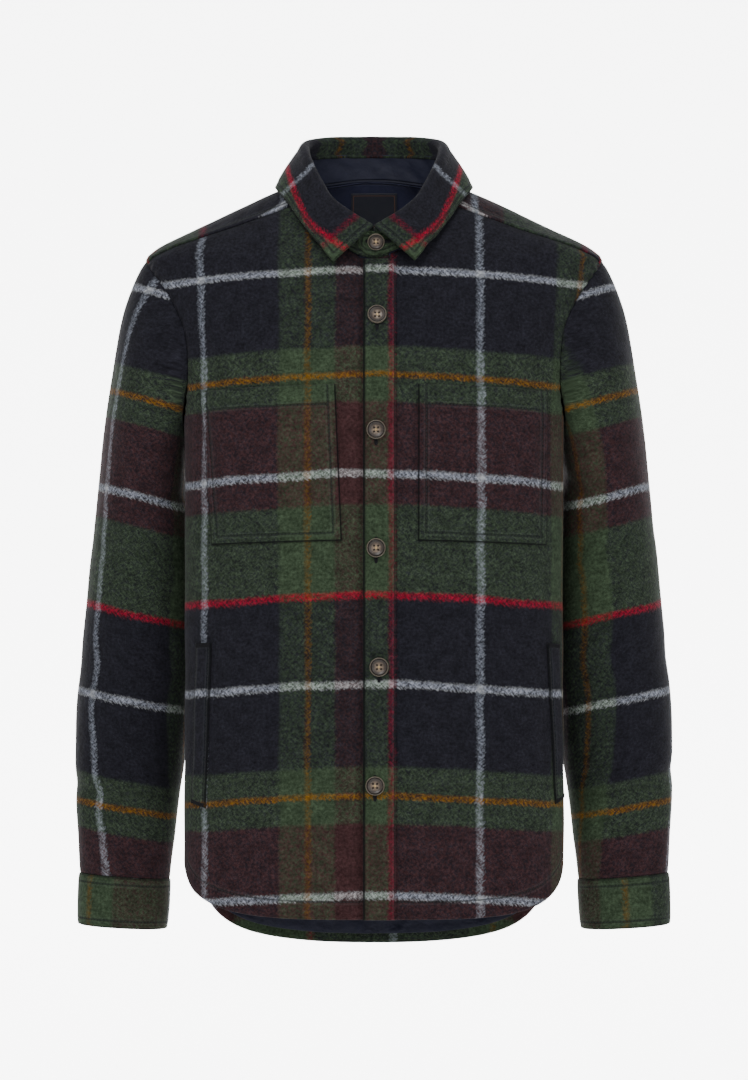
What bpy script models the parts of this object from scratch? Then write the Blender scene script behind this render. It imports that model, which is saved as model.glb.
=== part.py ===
"""Shacket: a wool shirt jacket, hollow and filled out, one solid for each cut piece.

Metres, +Z up. The front faces -Y and the wearer's left is +X. The origin lies between the
shoulders at the foot of the neck, where a wearer carries the jacket.
"""
import math

import bpy
import numpy as np

# Cloth and seams
WALL = 0.0025
LEAF_WALL = 0.0030
CUFF_WALL = 0.0035
LINING_WALL = 0.0010
LABEL_WALL = 0.0006
LABEL_CLEAR = 0.0009
SEAM_GAP = 0.0003
HALF_GAP = SEAM_GAP / 2

# Body form: one row a level, sections are superellipses around a widest line
# height, half_width, widest_y, front_y, back_y
FORM = [
    (-0.800, 0.188, -0.040, -0.132, 0.118),
    (-0.655, 0.188, -0.042, -0.132, 0.116),
    (-0.480, 0.187, -0.045, -0.130, 0.108),
    (-0.330, 0.187, -0.045, -0.132, 0.112),
    (-0.235, 0.188, -0.035, -0.130, 0.118),
    (-0.145, 0.206, -0.018, -0.116, 0.116),
    (-0.067, 0.229, 0.002, -0.088, 0.100),
    (-0.057, 0.220, 0.002, -0.082, 0.096),
    (-0.035, 0.178, 0.001, -0.068, 0.086),
    (-0.005, 0.114, 0.000, -0.046, 0.074),
    (0.011, 0.078, 0.000, -0.034, 0.067),
    (0.020, 0.056, 0.000, -0.026, 0.062),
    (0.036, 0.010, 0.000, -0.005, 0.030),
]
FRONT_POWER = 2.6
BACK_POWER = 2.2

# Neck seam, in plan
NECK_HALF_WIDTH = 0.078
NECK_FRONT = 0.089
NECK_BACK = 0.062

# Armhole, from the shoulder tip round the front to the underarm and up the back
SHOULDER_Z = -0.067
UNDERARM_Z = -0.235
SHOULDER_TURN = math.radians(90)
SIDE_TURN = math.radians(102)
ARMHOLE_FRONT_SPREAD = math.radians(34)
ARMHOLE_BACK_SPREAD = math.radians(27)
YOKE_FRONT_ANGLE = 0.34
YOKE_BACK_ANGLE = -0.917
FRONT_ARM_CELLS = 12
YOKE_CELLS = 6
BACK_ARM_CELLS = 7

# Centre front: the left front's edge lies under the band, against the right front's edge
LEFT_EDGE_X = 0.0160
RIGHT_EDGE_X = 0.0155
BAND_X = (-0.0107, 0.0050, 0.0214)
BAND_TOP_DROP = 0.0006

# Neck seam stations, degrees from the centre front, for each front and the yoke between
LEFT_NECK = [60.0, 50.0, 40.0, 30.0, 20.0]
RIGHT_NECK = [60.0, 46.0, 32.0, 16.0, 0.0]
YOKE_NECK_CELLS = 10
TAB_END_X = -0.0160
FRONT_SEAM_BOW = 0.003
# The right front's row from its corner dips under the lowest point of the neck
CORNER_DIP = 0.0085
YOKE_SEAM_DRAW = 2.5 * HALF_GAP

# Front rows below the neck: height at the centre, height at the side seam, bend of the row
# (a row that ends on the armhole has no side height of its own)
FRONT_ROWS = [
    (-0.108, None, 1.0),
    (-0.150, None, 1.0),
    (-0.1925, None, 1.0),
    (-0.203, None, 1.0),
    (-0.212, None, 1.0),
    (-0.220, None, 1.0),
    (-0.228, None, 1.0),
    (-0.257, -0.265, 1.0),
    (-0.286, -0.295, 1.0),
    (-0.315, -0.3245, 1.0),
    (-0.345, -0.3545, 1.0),
    (-0.394, -0.402, 1.0),
    (-0.441, -0.450, 1.2),
    (-0.492, -0.500, 1.5),
    (-0.552, -0.545, 2.0),
    (-0.613, -0.582, 3.0),
    (-0.654, -0.608, 3.0),
    (-0.688, -0.622, 3.0),
    (-0.714, -0.632, 3.0),
]
NECK_ROWS = 5
POCKET_TOP_ROW = NECK_ROWS + 3
POCKET_BOTTOM_ROW = NECK_ROWS + 11
WELT_TOP_ROW = NECK_ROWS + 13
WELT_BOTTOM_ROW = NECK_ROWS + 16

# Pocket and welt edges on each front: height, then distance from the centre line
# side, pocket inner edge, outer edge of the pocket running on as the welt's inner edge
POCKET_EDGES = {
    "right": (
        [(-0.194, 0.0375), (-0.3465, 0.0310)],
        [(-0.200, 0.1686), (-0.352, 0.1580), (-0.450, 0.1580), (-0.605, 0.1640)],
    ),
    "left": (
        [(-0.196, 0.0430), (-0.3466, 0.0427)],
        [(-0.2007, 0.1695), (-0.3534, 0.1680), (-0.448, 0.1685), (-0.6046, 0.1770)],
    ),
}
WELT_WIDTH = 0.021
INNER_CELLS = 2
POCKET_CELLS = 5
OUTER_CELLS = 2
FRONT_COLUMNS = INNER_CELLS + POCKET_CELLS + 1 + OUTER_CELLS

# Back rows: height at the centre back, height at the side seam, share of the tail's curve
BACK_ROWS = [
    (-0.092, None, 0.0),
    (-0.116, None, 0.0),
    (-0.143, None, 0.0),
    (-0.170, None, 0.0),
    (-0.194, None, 0.0),
    (-0.214, None, 0.0),
    (-0.228, None, 0.0),
    (-0.238, None, 0.0),
    (-0.268, -0.265, 0.0),
    (-0.299, -0.295, 0.0),
    (-0.330, -0.3245, 0.0),
    (-0.362, -0.3545, 0.0),
    (-0.411, -0.402, 0.0),
    (-0.462, -0.450, 0.0),
    (-0.515, -0.500, 0.1),
    (-0.568, -0.545, 0.3),
    (-0.620, -0.582, 0.5),
    (-0.670, -0.608, 0.7),
    (-0.716, -0.622, 0.9),
    (-0.758, -0.632, 1.0),
]
BACK_NECK_SHARE = 0.52
LINING_SHORT_OF_HEM = 0.43

# Sleeve rings: outer x and z, inner x and z, middle y, half depth
SLEEVE_RINGS = [
    (0.2290, -0.0670, 0.1830, -0.2350, -0.007, 0.0670),
    (0.2395, -0.0880, 0.1845, -0.2420, -0.004, 0.0700),
    (0.2500, -0.1170, 0.1860, -0.2500, 0.000, 0.0720),
    (0.2570, -0.1500, 0.1875, -0.2620, 0.005, 0.0720),
    (0.2635, -0.1880, 0.1880, -0.2790, 0.011, 0.0715),
    (0.2700, -0.2280, 0.1865, -0.3020, 0.018, 0.0710),
    (0.2755, -0.2720, 0.1840, -0.3320, 0.025, 0.0700),
    (0.2800, -0.3180, 0.1810, -0.3660, 0.031, 0.0685),
    (0.2855, -0.3620, 0.1790, -0.4000, 0.035, 0.0660),
    (0.2895, -0.4050, 0.1785, -0.4360, 0.038, 0.0640),
    (0.2940, -0.4480, 0.1800, -0.4720, 0.040, 0.0620),
    (0.2980, -0.4900, 0.1830, -0.5080, 0.040, 0.0590),
    (0.3005, -0.5300, 0.1870, -0.5430, 0.039, 0.0550),
    (0.3015, -0.5680, 0.1920, -0.5770, 0.038, 0.0500),
    (0.3005, -0.6050, 0.1970, -0.6110, 0.036, 0.0450),
    (0.2985, -0.6430, 0.2015, -0.6480, 0.035, 0.0400),
    (0.2962, -0.6790, 0.2057, -0.6855, 0.034, 0.0365),
]
CUFF_RINGS = [
    (0.2968, -0.6793, 0.2047, -0.6858, 0.034, 0.0375),
    (0.2980, -0.7050, 0.2060, -0.7110, 0.034, 0.0380),
    (0.2985, -0.7310, 0.2085, -0.7360, 0.034, 0.0385),
]
SLEEVE_POWER = 2.15
CAP_RINGS = 6
EVEN_RINGS = 8

# Soft folds of the body: face, x, height, lean from upright in degrees, half length,
# half width, depth out of the cloth
BODY_FOLDS = [
    ("front", -0.172, -0.150, -24, 0.055, 0.011, -0.0028),
    ("front", -0.150, -0.165, -30, 0.060, 0.014, 0.0022),
    ("front", 0.170, -0.155, 22, 0.060, 0.011, -0.0026),
    ("front", 0.146, -0.180, 30, 0.055, 0.014, 0.0020),
    ("front", -0.120, -0.640, 6, 0.090, 0.026, -0.0030),
    ("front", 0.112, -0.625, -5, 0.100, 0.026, -0.0028),
    ("front", -0.075, -0.440, 3, 0.090, 0.024, -0.0022),
    ("front", 0.082, -0.455, -4, 0.080, 0.024, -0.0020),
    ("back", -0.085, -0.230, 5, 0.120, 0.020, -0.0045),
    ("back", 0.078, -0.250, -4, 0.130, 0.020, -0.0040),
    ("back", -0.125, -0.430, 20, 0.080, 0.018, -0.0050),
    ("back", 0.130, -0.450, -22, 0.085, 0.018, -0.0045),
    ("back", -0.045, -0.640, 4, 0.110, 0.028, -0.0050),
    ("back", 0.065, -0.625, -5, 0.110, 0.028, -0.0045),
]

# Soft folds of the sleeves: side, height, angle round from the outside in degrees (front
# positive), slope along the turn, half height, half turn in degrees, depth
SLEEVE_FOLDS = [
    ("left", -0.300, 118, 0.30, 0.011, 62, -0.0040),
    ("left", -0.352, 100, -0.20, 0.014, 58, -0.0040),
    ("left", -0.452, 60, 0.15, 0.018, 52, -0.0035),
    ("left", -0.588, 50, -0.25, 0.012, 66, -0.0035),
    ("left", -0.410, 250, 0.20, 0.016, 60, -0.0045),
    ("left", -0.545, 235, -0.20, 0.014, 60, -0.0040),
    ("right", -0.310, 122, 0.25, 0.011, 60, -0.0040),
    ("right", -0.366, 96, -0.15, 0.014, 60, -0.0038),
    ("right", -0.470, 66, 0.10, 0.018, 50, -0.0035),
    ("right", -0.600, 54, -0.20, 0.012, 64, -0.0035),
    ("right", -0.425, 245, 0.20, 0.016, 60, -0.0045),
    ("right", -0.560, 238, -0.15, 0.014, 60, -0.0040),
]

# Collar, by degrees from the centre front: top of the stand, top of the fold
# turn, stand_z, fold_z
COLLAR_TOP = [
    (0, -0.0420, -0.0365),
    (11, -0.0360, -0.0290),
    (21, -0.0295, -0.0215),
    (38, -0.0160, -0.0067),
    (54, 0.0030, 0.0155),
    (70, 0.0200, 0.0345),
    (90, 0.0340, 0.0505),
    (120, 0.0410, 0.0585),
    (150, 0.0445, 0.0625),
    (180, 0.0455, 0.0635),
]
STAND_HALF_WIDTH = 0.0725
STAND_FRONT = 0.0945
STAND_BACK = 0.0595
FOLD_HALF_WIDTH = 0.0690
FOLD_FRONT = 0.0965
FOLD_BACK = 0.0600
# Leaf's free edge, by the same degrees: turn on the body, height, lift off the body
LEAF_EDGE = [
    (0, 6.0, -0.0770, 0.0100),
    (16, 8.5, -0.0625, 0.0090),
    (32, 12.7, -0.0480, 0.0075),
    (46, 19.4, -0.0330, 0.0062),
    (60, 31.0, -0.0170, 0.0050),
    (75, 50.0, -0.0050, 0.0046),
    (90, 80.0, 0.0020, 0.0046),
    (108, 112.0, 0.0030, 0.0050),
    (132, 142.0, 0.0050, 0.0090),
    (156, 163.0, 0.0060, 0.0140),
    (180, 180.0, 0.0060, 0.0170),
]
# Leaf's section over the fold: way out from the fold's middle, way down from its top
FOLD_SECTION = [
    (-0.0045, 0.0052),
    (-0.0024, 0.0013),
    (0.0010, 0.0000),
    (0.0045, 0.0022),
    (0.0078, 0.0080),
]
FALL_CELLS = 3
FALL_BULGE = 0.0012
TAB_LIFT = 0.0031
TAB_RAMP = (34.0, 12.0)
TAB_ROUND = 0.0055
TAB_RISE = 0.85
END_DROP = 0.0045
NEXT_DROP = 0.0012
END_SLANT_TURN = 16.0

# Buttons: height of each centre, x of each centre
FRONT_BUTTONS = [
    (-0.1255, 0.0030),
    (-0.2378, 0.0020),
    (-0.3525, 0.0020),
    (-0.4683, 0.0049),
    (-0.5836, 0.0010),
]
TOP_BUTTON = (-0.0527, 0.0020)
BUTTON_RADIUS = 0.0093
TOP_BUTTON_RADIUS = 0.0083
CUFF_BUTTON_RADIUS = 0.0075
BUTTON_SIDES = 18
CUFF_BUTTON_ANGLE = math.radians(-78)
# Turned section of a button of radius 1: share of the radius, height in metres
BUTTON_SECTION = [
    (0.00, 0.0000),
    (0.82, 0.0000),
    (1.00, 0.0012),
    (0.99, 0.0027),
    (0.86, 0.0034),
    (0.66, 0.0024),
    (0.00, 0.0021),
]

# Label, sewn inside the back neck
LABEL_HALF_WIDTH = 0.024
LABEL_TOP_Z = 0.0085
LABEL_BOTTOM_Z = -0.0270

NAVY_CHECK = (0.020, 0.026, 0.036)
GREEN_CHECK = (0.026, 0.042, 0.034)
WINE_CHECK = (0.048, 0.020, 0.022)
LINING_NAVY = (0.013, 0.016, 0.030)
HORN_BROWN = (0.050, 0.028, 0.018)
LABEL_DARK = (0.012, 0.013, 0.018)


def curve_through(rows, column):
    """A smooth curve through one column of a table that never overshoots its rows."""
    places = np.array([row[0] for row in rows], float)
    values = np.array([row[column] for row in rows], float)
    step = np.diff(places)
    rise = np.diff(values) / step
    slope = np.zeros(len(values))
    for i in range(1, len(values) - 1):
        if rise[i - 1] * rise[i] > 0:
            slope[i] = 2 / (1 / rise[i - 1] + 1 / rise[i])
    slope[0] = rise[0]
    slope[-1] = rise[-1]

    def read(at):
        at = np.clip(at, places[0], places[-1])
        i = np.clip(np.searchsorted(places, at, side="right") - 1, 0, len(step) - 1)
        t = (at - places[i]) / step[i]
        start = values[i] * (1 + 2 * t) * (1 - t) ** 2 + slope[i] * step[i] * t * (1 - t) ** 2
        end = values[i + 1] * t * t * (3 - 2 * t) + slope[i + 1] * step[i] * t * t * (t - 1)
        return start + end

    return read


half_width = curve_through(FORM, 1)
widest_y = curve_through(FORM, 2)
front_y = curve_through(FORM, 3)
back_y = curve_through(FORM, 4)
stand_top_z = curve_through(COLLAR_TOP, 1)
fold_top_z = curve_through(COLLAR_TOP, 2)
leaf_turn = curve_through(LEAF_EDGE, 1)
leaf_z = curve_through(LEAF_EDGE, 2)
leaf_lift = curve_through(LEAF_EDGE, 3)


def unit(vectors):
    """Vectors of length one."""
    return vectors / np.linalg.norm(vectors, axis=-1, keepdims=True)


def form_point(height, turn):
    """Point of the body form at a height and a turn from the centre front."""
    height = np.asarray(height, float)
    sine = np.sin(turn)
    cosine = np.cos(turn)
    power = np.where(cosine > 0, FRONT_POWER, BACK_POWER)
    reach = np.where(cosine > 0, front_y(height), back_y(height)) - widest_y(height)
    x = half_width(height) * np.sign(sine) * np.abs(sine) ** (2 / power)
    y = widest_y(height) + reach * np.abs(cosine) ** (2 / power)
    return np.stack([x, y, height + 0 * x], axis=-1)


def form_value(points):
    """One on the body form, less inside it and more outside it."""
    x, y, z = points[..., 0], points[..., 1], points[..., 2]
    front = y < widest_y(z)
    power = np.where(front, FRONT_POWER, BACK_POWER)
    reach = np.abs(np.where(front, front_y(z), back_y(z)) - widest_y(z))
    across = np.abs(x) / half_width(z)
    along = np.abs(y - widest_y(z)) / reach
    return across**power + along**power


def form_normal(points):
    """Outward normal of the body form, the same for every piece that meets there."""
    step = 0.0008
    slope = [
        form_value(points + step * axis) - form_value(points - step * axis)
        for axis in np.eye(3)
    ]
    return unit(np.stack(slope, axis=-1))


def body_fold(points):
    """How far the soft folds move the cloth out, from the place alone."""
    total = np.zeros(points.shape[:-1])
    for face, x, height, lean, half_length, half, depth in BODY_FOLDS:
        facing = -1 if face == "front" else 1
        seen = np.clip(facing * (points[..., 1] - widest_y(points[..., 2])) / 0.02, 0, 1)
        lean = math.radians(lean)
        over = points[..., 0] - x
        up = points[..., 2] - height
        along = up * math.cos(lean) + over * math.sin(lean)
        across = over * math.cos(lean) - up * math.sin(lean)
        total += depth * seen * np.exp(-((along / half_length) ** 2) - (across / half) ** 2)
    return total


def surface(height, turn):
    """Outer face of the cloth and the normal of the form under it."""
    points = form_point(height, turn)
    normals = form_normal(points)
    return points + normals * body_fold(points)[..., None], normals


def turn_at(x, height):
    """Turn from the centre front of the front's point at this x."""
    share = np.abs(x) / half_width(height)
    return np.sign(x) * np.arcsin(np.clip(share, 0, 1) ** (FRONT_POWER / 2))


def plan_half_width(height):
    """Half width for the yoke's plan, which keeps growing below the shoulder tip."""
    below = np.maximum(SHOULDER_Z - height, 0)
    return half_width(np.maximum(height, SHOULDER_Z)) + 0.3 * below


def plan_of(height, turn):
    """Place in the yoke's plan of a point of the form."""
    sine = np.sin(turn)
    power = np.where(np.cos(turn) > 0, FRONT_POWER, BACK_POWER)
    x = plan_half_width(height) * np.sign(sine) * np.abs(sine) ** (2 / power)
    return x, form_point(height, turn)[..., 1]


def from_plan(x, y):
    """Height and turn of the form's point over a place in the yoke's plan."""
    low = np.full(np.shape(x), -0.2)
    high = np.full(np.shape(x), FORM[-1][0])
    for _ in range(45):
        height = (low + high) / 2
        power = np.where(y < widest_y(height), FRONT_POWER, BACK_POWER)
        reach = np.where(y < widest_y(height), front_y(height), back_y(height))
        across = (np.abs(x) / plan_half_width(height)) ** power
        along = np.abs((y - widest_y(height)) / (reach - widest_y(height))) ** power
        outside = across + along > 1
        high = np.where(outside, height, high)
        low = np.where(outside, low, height)
    turn = np.arctan2(np.sqrt(across), np.sqrt(along))
    turn = np.where(y < widest_y(height), turn, math.pi - turn)
    return height, np.copysign(turn, x)


def plan_ring(turn, half, front, back):
    """Place in plan on an oval ring, and the way out of it."""
    sine = np.sin(turn)
    cosine = np.cos(turn)
    reach = np.where(cosine > 0, front, back)
    x = half * sine
    y = -reach * cosine
    out = unit(np.stack([x / half**2, y / reach**2, 0 * x], axis=-1))
    return x, y, out


def neck(turn):
    """Height and turn on the form of the neck seam's point."""
    x, y, _ = plan_ring(turn, NECK_HALF_WIDTH, NECK_FRONT, NECK_BACK)
    return from_plan(x, y)


def neck_edge(turn):
    """Neck seam's point, the way through the wall there, and the way up out of it."""
    turn = np.asarray(turn, float)
    point, normal = surface(*neck(turn))
    after = form_point(*neck(turn + 0.01)) - form_point(*neck(turn - 0.01))
    _, _, out = plan_ring(turn, NECK_HALF_WIDTH, NECK_FRONT, NECK_BACK)
    through = unit(-normal - out)
    up = unit(np.cross(after, through))
    return point, through, up * np.sign(up[..., 2:3])


def armhole(angle):
    """Height and turn on the form of the left armhole, by the angle from its tip."""
    drop = (1 - np.cos(angle)) / 2
    height = SHOULDER_Z + (UNDERARM_Z - SHOULDER_Z) * drop
    middle = SHOULDER_TURN + (SIDE_TURN - SHOULDER_TURN) * drop
    spread = np.where(np.sin(angle) > 0, ARMHOLE_FRONT_SPREAD, ARMHOLE_BACK_SPREAD)
    return height, middle - spread * np.sin(angle)


def armhole_edge(angle, side):
    """Armhole's point, the way through the wall there, and the way out of the body."""
    angle = np.asarray(angle, float)
    height, turn = armhole(angle)
    point, _ = surface(height, turn * side)
    after = form_point(*armhole(angle + 0.01)) - form_point(*armhole(angle - 0.01))
    after = unit(after * [side, 1, 1])
    loop = form_point(*armhole(np.linspace(0, 2 * math.pi, 60, endpoint=False)))
    centre = loop.mean(axis=0) * [side, 1, 1]
    through = centre - point
    through = unit(through - after * np.sum(through * after, axis=-1, keepdims=True))
    out = np.cross(after, through)
    return point, through, out * np.sign(out[..., 0:1] * side)


FRONT_ARM = np.linspace(YOKE_FRONT_ANGLE, math.pi, FRONT_ARM_CELLS + 1)
YOKE_ARM = np.linspace(YOKE_BACK_ANGLE, YOKE_FRONT_ANGLE, YOKE_CELLS + 1)
BACK_ARM = np.linspace(YOKE_BACK_ANGLE, -math.pi, BACK_ARM_CELLS + 1)


def lengths_along(points):
    """Distance from the start of a line of points, as a share of its length."""
    steps = np.linalg.norm(np.diff(points, axis=0), axis=1)
    run = np.concatenate([[0], np.cumsum(steps)])
    return run / run[-1], run[-1]


def front_seam_line(side):
    """Height and turn along a front's yoke seam, from the neck to the armhole."""
    share = np.linspace(0, 1, 121)
    neck_height, neck_turn = neck(np.array([math.radians(LEFT_NECK[0]) * side]))
    arm_height, arm_turn = armhole(YOKE_FRONT_ANGLE)
    bow = FRONT_SEAM_BOW * np.sin(math.pi * share)
    height = neck_height[0] + (arm_height - neck_height[0]) * share - bow
    turn = abs(neck_turn[0]) + (arm_turn - abs(neck_turn[0])) * share
    return height, turn * side


def front_starts(side):
    """Height and turn of each front row's start, on the neck and then on the front edge."""
    if side > 0:
        edge_x = LEFT_EDGE_X
        stations = LEFT_NECK
    else:
        edge_x = RIGHT_EDGE_X
        stations = RIGHT_NECK
    corner = math.degrees(math.asin(edge_x / NECK_HALF_WIDTH)) * side
    turns = np.radians(stations + [corner]) * side
    heights, form_turns = neck(turns)
    starts = list(zip(heights, form_turns))
    for centre, _, _ in FRONT_ROWS:
        starts.append((centre, float(turn_at(edge_x, centre))))
    return starts


def front_columns(side, row, height, turn):
    """Shares of a row's length at which the front's columns stand."""
    row = min(max(row, POCKET_TOP_ROW), WELT_BOTTOM_ROW)
    inner_line, outer_line = POCKET_EDGES["left" if side > 0 else "right"]
    points = form_point(height, turn)
    share, length = lengths_along(points)
    across = points[:, 0] * side
    marks = []
    for line in (inner_line, outer_line):
        wanted = np.interp(-points[:, 2], [-z for z, _ in line], [x for _, x in line])
        marks.append(float(np.interp(0, across - wanted, share)))
    welt = marks[1] + WELT_WIDTH / length
    return np.concatenate(
        [
            np.linspace(0, marks[0], INNER_CELLS + 1)[:-1],
            np.linspace(marks[0], marks[1], POCKET_CELLS + 1),
            np.linspace(welt, 1, OUTER_CELLS + 1),
        ]
    )


def front_grid(side):
    """Heights and turns of a front's points, a row from the front edge to the side."""
    starts = front_starts(side)
    powers = [1.0] * (NECK_ROWS + 1) + [row[2] for row in FRONT_ROWS]
    ends = [armhole(angle) for angle in FRONT_ARM]
    ends += [(row[1], SIDE_TURN) for row in FRONT_ROWS if row[1] is not None]
    lines = [front_seam_line(side)]
    share = np.linspace(0, 1, 121)
    for start, end, power in list(zip(starts, ends, powers))[1:]:
        height = start[0] + (end[0] - start[0]) * share**power
        turn = start[1] + (end[1] * side - start[1]) * share
        if side < 0 and len(lines) == NECK_ROWS:
            height = height - CORNER_DIP * np.sin(math.pi * share**0.35)
        lines.append((height, turn))
    columns = [front_columns(side, i, *line) for i, line in enumerate(lines)]
    heights = []
    turns = []
    for i, (height, turn) in enumerate(lines):
        at = columns[min(max(i, POCKET_TOP_ROW), WELT_BOTTOM_ROW)]
        along, _ = lengths_along(form_point(height, turn))
        heights.append(np.interp(at, along, height))
        turns.append(np.interp(at, along, turn))
    return np.array(heights), np.array(turns)


def yoke_seam_shares():
    """Shares of the back yoke seam's length at which the yoke's columns stand."""
    arm = (1 - BACK_NECK_SHARE) / 2
    return np.concatenate(
        [
            np.linspace(0, arm, FRONT_COLUMNS + 1)[:-1],
            np.linspace(arm, 1 - arm, YOKE_NECK_CELLS + 1)[:-1],
            np.linspace(1 - arm, 1, FRONT_COLUMNS + 1),
        ]
    )


def back_grid():
    """Heights and turns of the back's points, a row from the right side to the left."""
    ends = [armhole(angle) for angle in BACK_ARM]
    ends += [(row[1], SIDE_TURN) for row in BACK_ROWS if row[1] is not None]
    shares = yoke_seam_shares()
    even = np.linspace(0, 1, len(shares))
    place = np.linspace(-1, 1, 241)
    heights = []
    turns = []
    for i, ((centre, _, tail), (end_height, end_turn)) in enumerate(zip(BACK_ROWS, ends)):
        plain = place**2
        curved = 0.4 * place**2 + 0.6 * place**6
        height = centre + (end_height - centre) * (plain * (1 - tail) + curved * tail)
        turn = math.pi + (math.pi - end_turn) * -place
        along, _ = lengths_along(form_point(height, turn))
        ease = min(i / BACK_ARM_CELLS, 1)
        at = shares * (1 - ease) + even * ease
        heights.append(np.interp(at, along, height))
        turns.append(np.interp(at, along, turn))
    return np.array(heights), np.array(turns)


def yoke_grid(back_heights, back_turns, fronts):
    """Heights and turns of the yoke's points, a row from the back seam to the front."""
    top_height = []
    top_turn = []
    for height, turn in (fronts[-1], fronts[1]):
        top_height.append(height[0])
        top_turn.append(turn[0])
    neck_turns = np.radians(np.linspace(-LEFT_NECK[0], LEFT_NECK[0] - 360, YOKE_NECK_CELLS + 1))
    neck_heights, neck_form_turns = neck(neck_turns)
    heights = np.concatenate([top_height[0][::-1], neck_heights[1:-1], top_height[1]])
    turns = np.concatenate([top_turn[0][::-1], neck_form_turns[1:-1], top_turn[1]])
    columns_height = []
    columns_turn = []
    share = np.linspace(0, 1, 41)
    start = plan_of(back_heights, back_turns)
    end = plan_of(heights, turns)
    for k in range(len(heights)):
        x = start[0][k] + (end[0][k] - start[0][k]) * share
        y = start[1][k] + (end[1][k] - start[1][k]) * share
        height, turn = from_plan(x, y)
        if k in (0, len(heights) - 1):
            side = -1 if k == 0 else 1
            height, turn = armhole(YOKE_ARM)
            columns_height.append(height)
            columns_turn.append(turn * side)
            continue
        along, _ = lengths_along(form_point(height, turn))
        at = np.linspace(0, 1, YOKE_CELLS + 1)
        place_x = np.interp(at, along, x)
        place_y = np.interp(at, along, y)
        height, turn = from_plan(place_x, place_y)
        columns_height.append(height)
        columns_turn.append(turn)
    return np.array(columns_height).T, np.array(columns_turn).T


def pull(points, line, beside, gap=HALF_GAP):
    """Draws one edge of a grid back by half a seam's gap, towards the line beside it."""
    points[line] += gap * unit(points[beside] - points[line])


def wall_of(heights, turns):
    """Outer and inner face of a body panel, before its edges are set."""
    points, normals = surface(heights, turns)
    return points, points - WALL * normals, normals


def set_edge(outer, inner, index, edge, sign):
    """Sets one edge of a panel's two faces on a seam that it shares with another piece."""
    point, through, away = edge
    outer[index] = point + sign * HALF_GAP * away
    inner[index] = outer[index] + WALL * through


def closed_wall(outer, inner, around=False, mirrored=False):
    """Points and triangles of the wall between two grids, closed along its edges.

    A mirrored grid turns its diagonals round at its middle column.
    """
    rows, columns = outer.shape[:2]
    vertices = np.concatenate([outer.reshape(-1, 3), inner.reshape(-1, 3)])
    far = rows * columns

    def at(row, column):
        return row * columns + column % columns

    faces = []
    across = columns if around else columns - 1
    for row in range(rows - 1):
        for column in range(across):
            corners = [
                at(row, column),
                at(row, column + 1),
                at(row + 1, column + 1),
                at(row + 1, column),
            ]
            if mirrored and column >= across / 2:
                corners = corners[1:] + corners[:1]
            faces += [(corners[0], corners[1], corners[2]), (corners[0], corners[2], corners[3])]
            faces += [tuple(far + i for i in reversed(face)) for face in faces[-2:]]
    rims = []
    for column in range(across):
        rims.append((at(0, column + 1), at(0, column)))
        rims.append((at(rows - 1, column), at(rows - 1, column + 1)))
    if not around:
        for row in range(rows - 1):
            rims.append((at(row, 0), at(row + 1, 0)))
            rims.append((at(row + 1, columns - 1), at(row, columns - 1)))
    for a, b in rims:
        faces += [(a, b, far + b), (a, far + b, far + a)]
    return vertices, faces


def volume_of(vertices, faces):
    """Signed volume, which is positive when the faces point out."""
    a, b, c = (vertices[[face[i] for face in faces]] for i in range(3))
    return float(np.sum(a * np.cross(b, c)) / 6)


def material(name, colour, roughness):
    """Plain material of one colour."""
    made = bpy.data.materials.new(name)
    made.use_nodes = True
    shader = made.node_tree.nodes["Principled BSDF"]
    shader.inputs["Base Color"].default_value = (*colour, 1)
    shader.inputs["Roughness"].default_value = roughness
    shader.inputs["Metallic"].default_value = 0
    return made


def add_piece(name, vertices, faces, colour, roughness=0.9):
    """Adds one closed piece to the scene, with a material of its own."""
    if volume_of(vertices, faces) < 0:
        faces = [tuple(reversed(face)) for face in faces]
    mesh = bpy.data.meshes.new(name)
    mesh.from_pydata([tuple(point) for point in vertices], [], faces)
    mesh.validate()
    mesh.shade_smooth()
    mesh.set_sharp_from_angle(angle=math.radians(40))
    mesh.materials.append(material(name + "_finish", colour, roughness))
    piece = bpy.data.objects.new(name, mesh)
    bpy.context.scene.collection.objects.link(piece)
    return piece


def add_wall(name, outer, inner, colour, around=False, mirrored=False):
    """Adds a cloth wall."""
    return add_piece(name, *closed_wall(outer, inner, around, mirrored), colour)


def build_front(side, heights, turns):
    """Adds one front and returns its outer face with its normals."""
    outer, inner, normals = wall_of(heights, turns)
    plain = outer.copy()
    arm_rows = slice(0, FRONT_ARM_CELLS + 1)
    set_edge(outer, inner, (arm_rows, -1), armhole_edge(FRONT_ARM, side), -1)
    stations = LEFT_NECK if side > 0 else RIGHT_NECK
    edge_x = LEFT_EDGE_X if side > 0 else RIGHT_EDGE_X
    corner = math.degrees(math.asin(edge_x / NECK_HALF_WIDTH)) * side
    neck_turns = np.radians(stations + [corner]) * side
    set_edge(outer, inner, (slice(0, NECK_ROWS + 1), 0), neck_edge(neck_turns), -1)
    for face in (outer, inner):
        pull(face, 0, 1, YOKE_SEAM_DRAW)
        side_rows = slice(FRONT_ARM_CELLS, None)
        pull(face, (side_rows, -1), (side_rows, -2))
    name = "front_left" if side > 0 else "front_right"
    add_wall(name, outer, inner, NAVY_CHECK if side > 0 else GREEN_CHECK)
    return plain, normals


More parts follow.
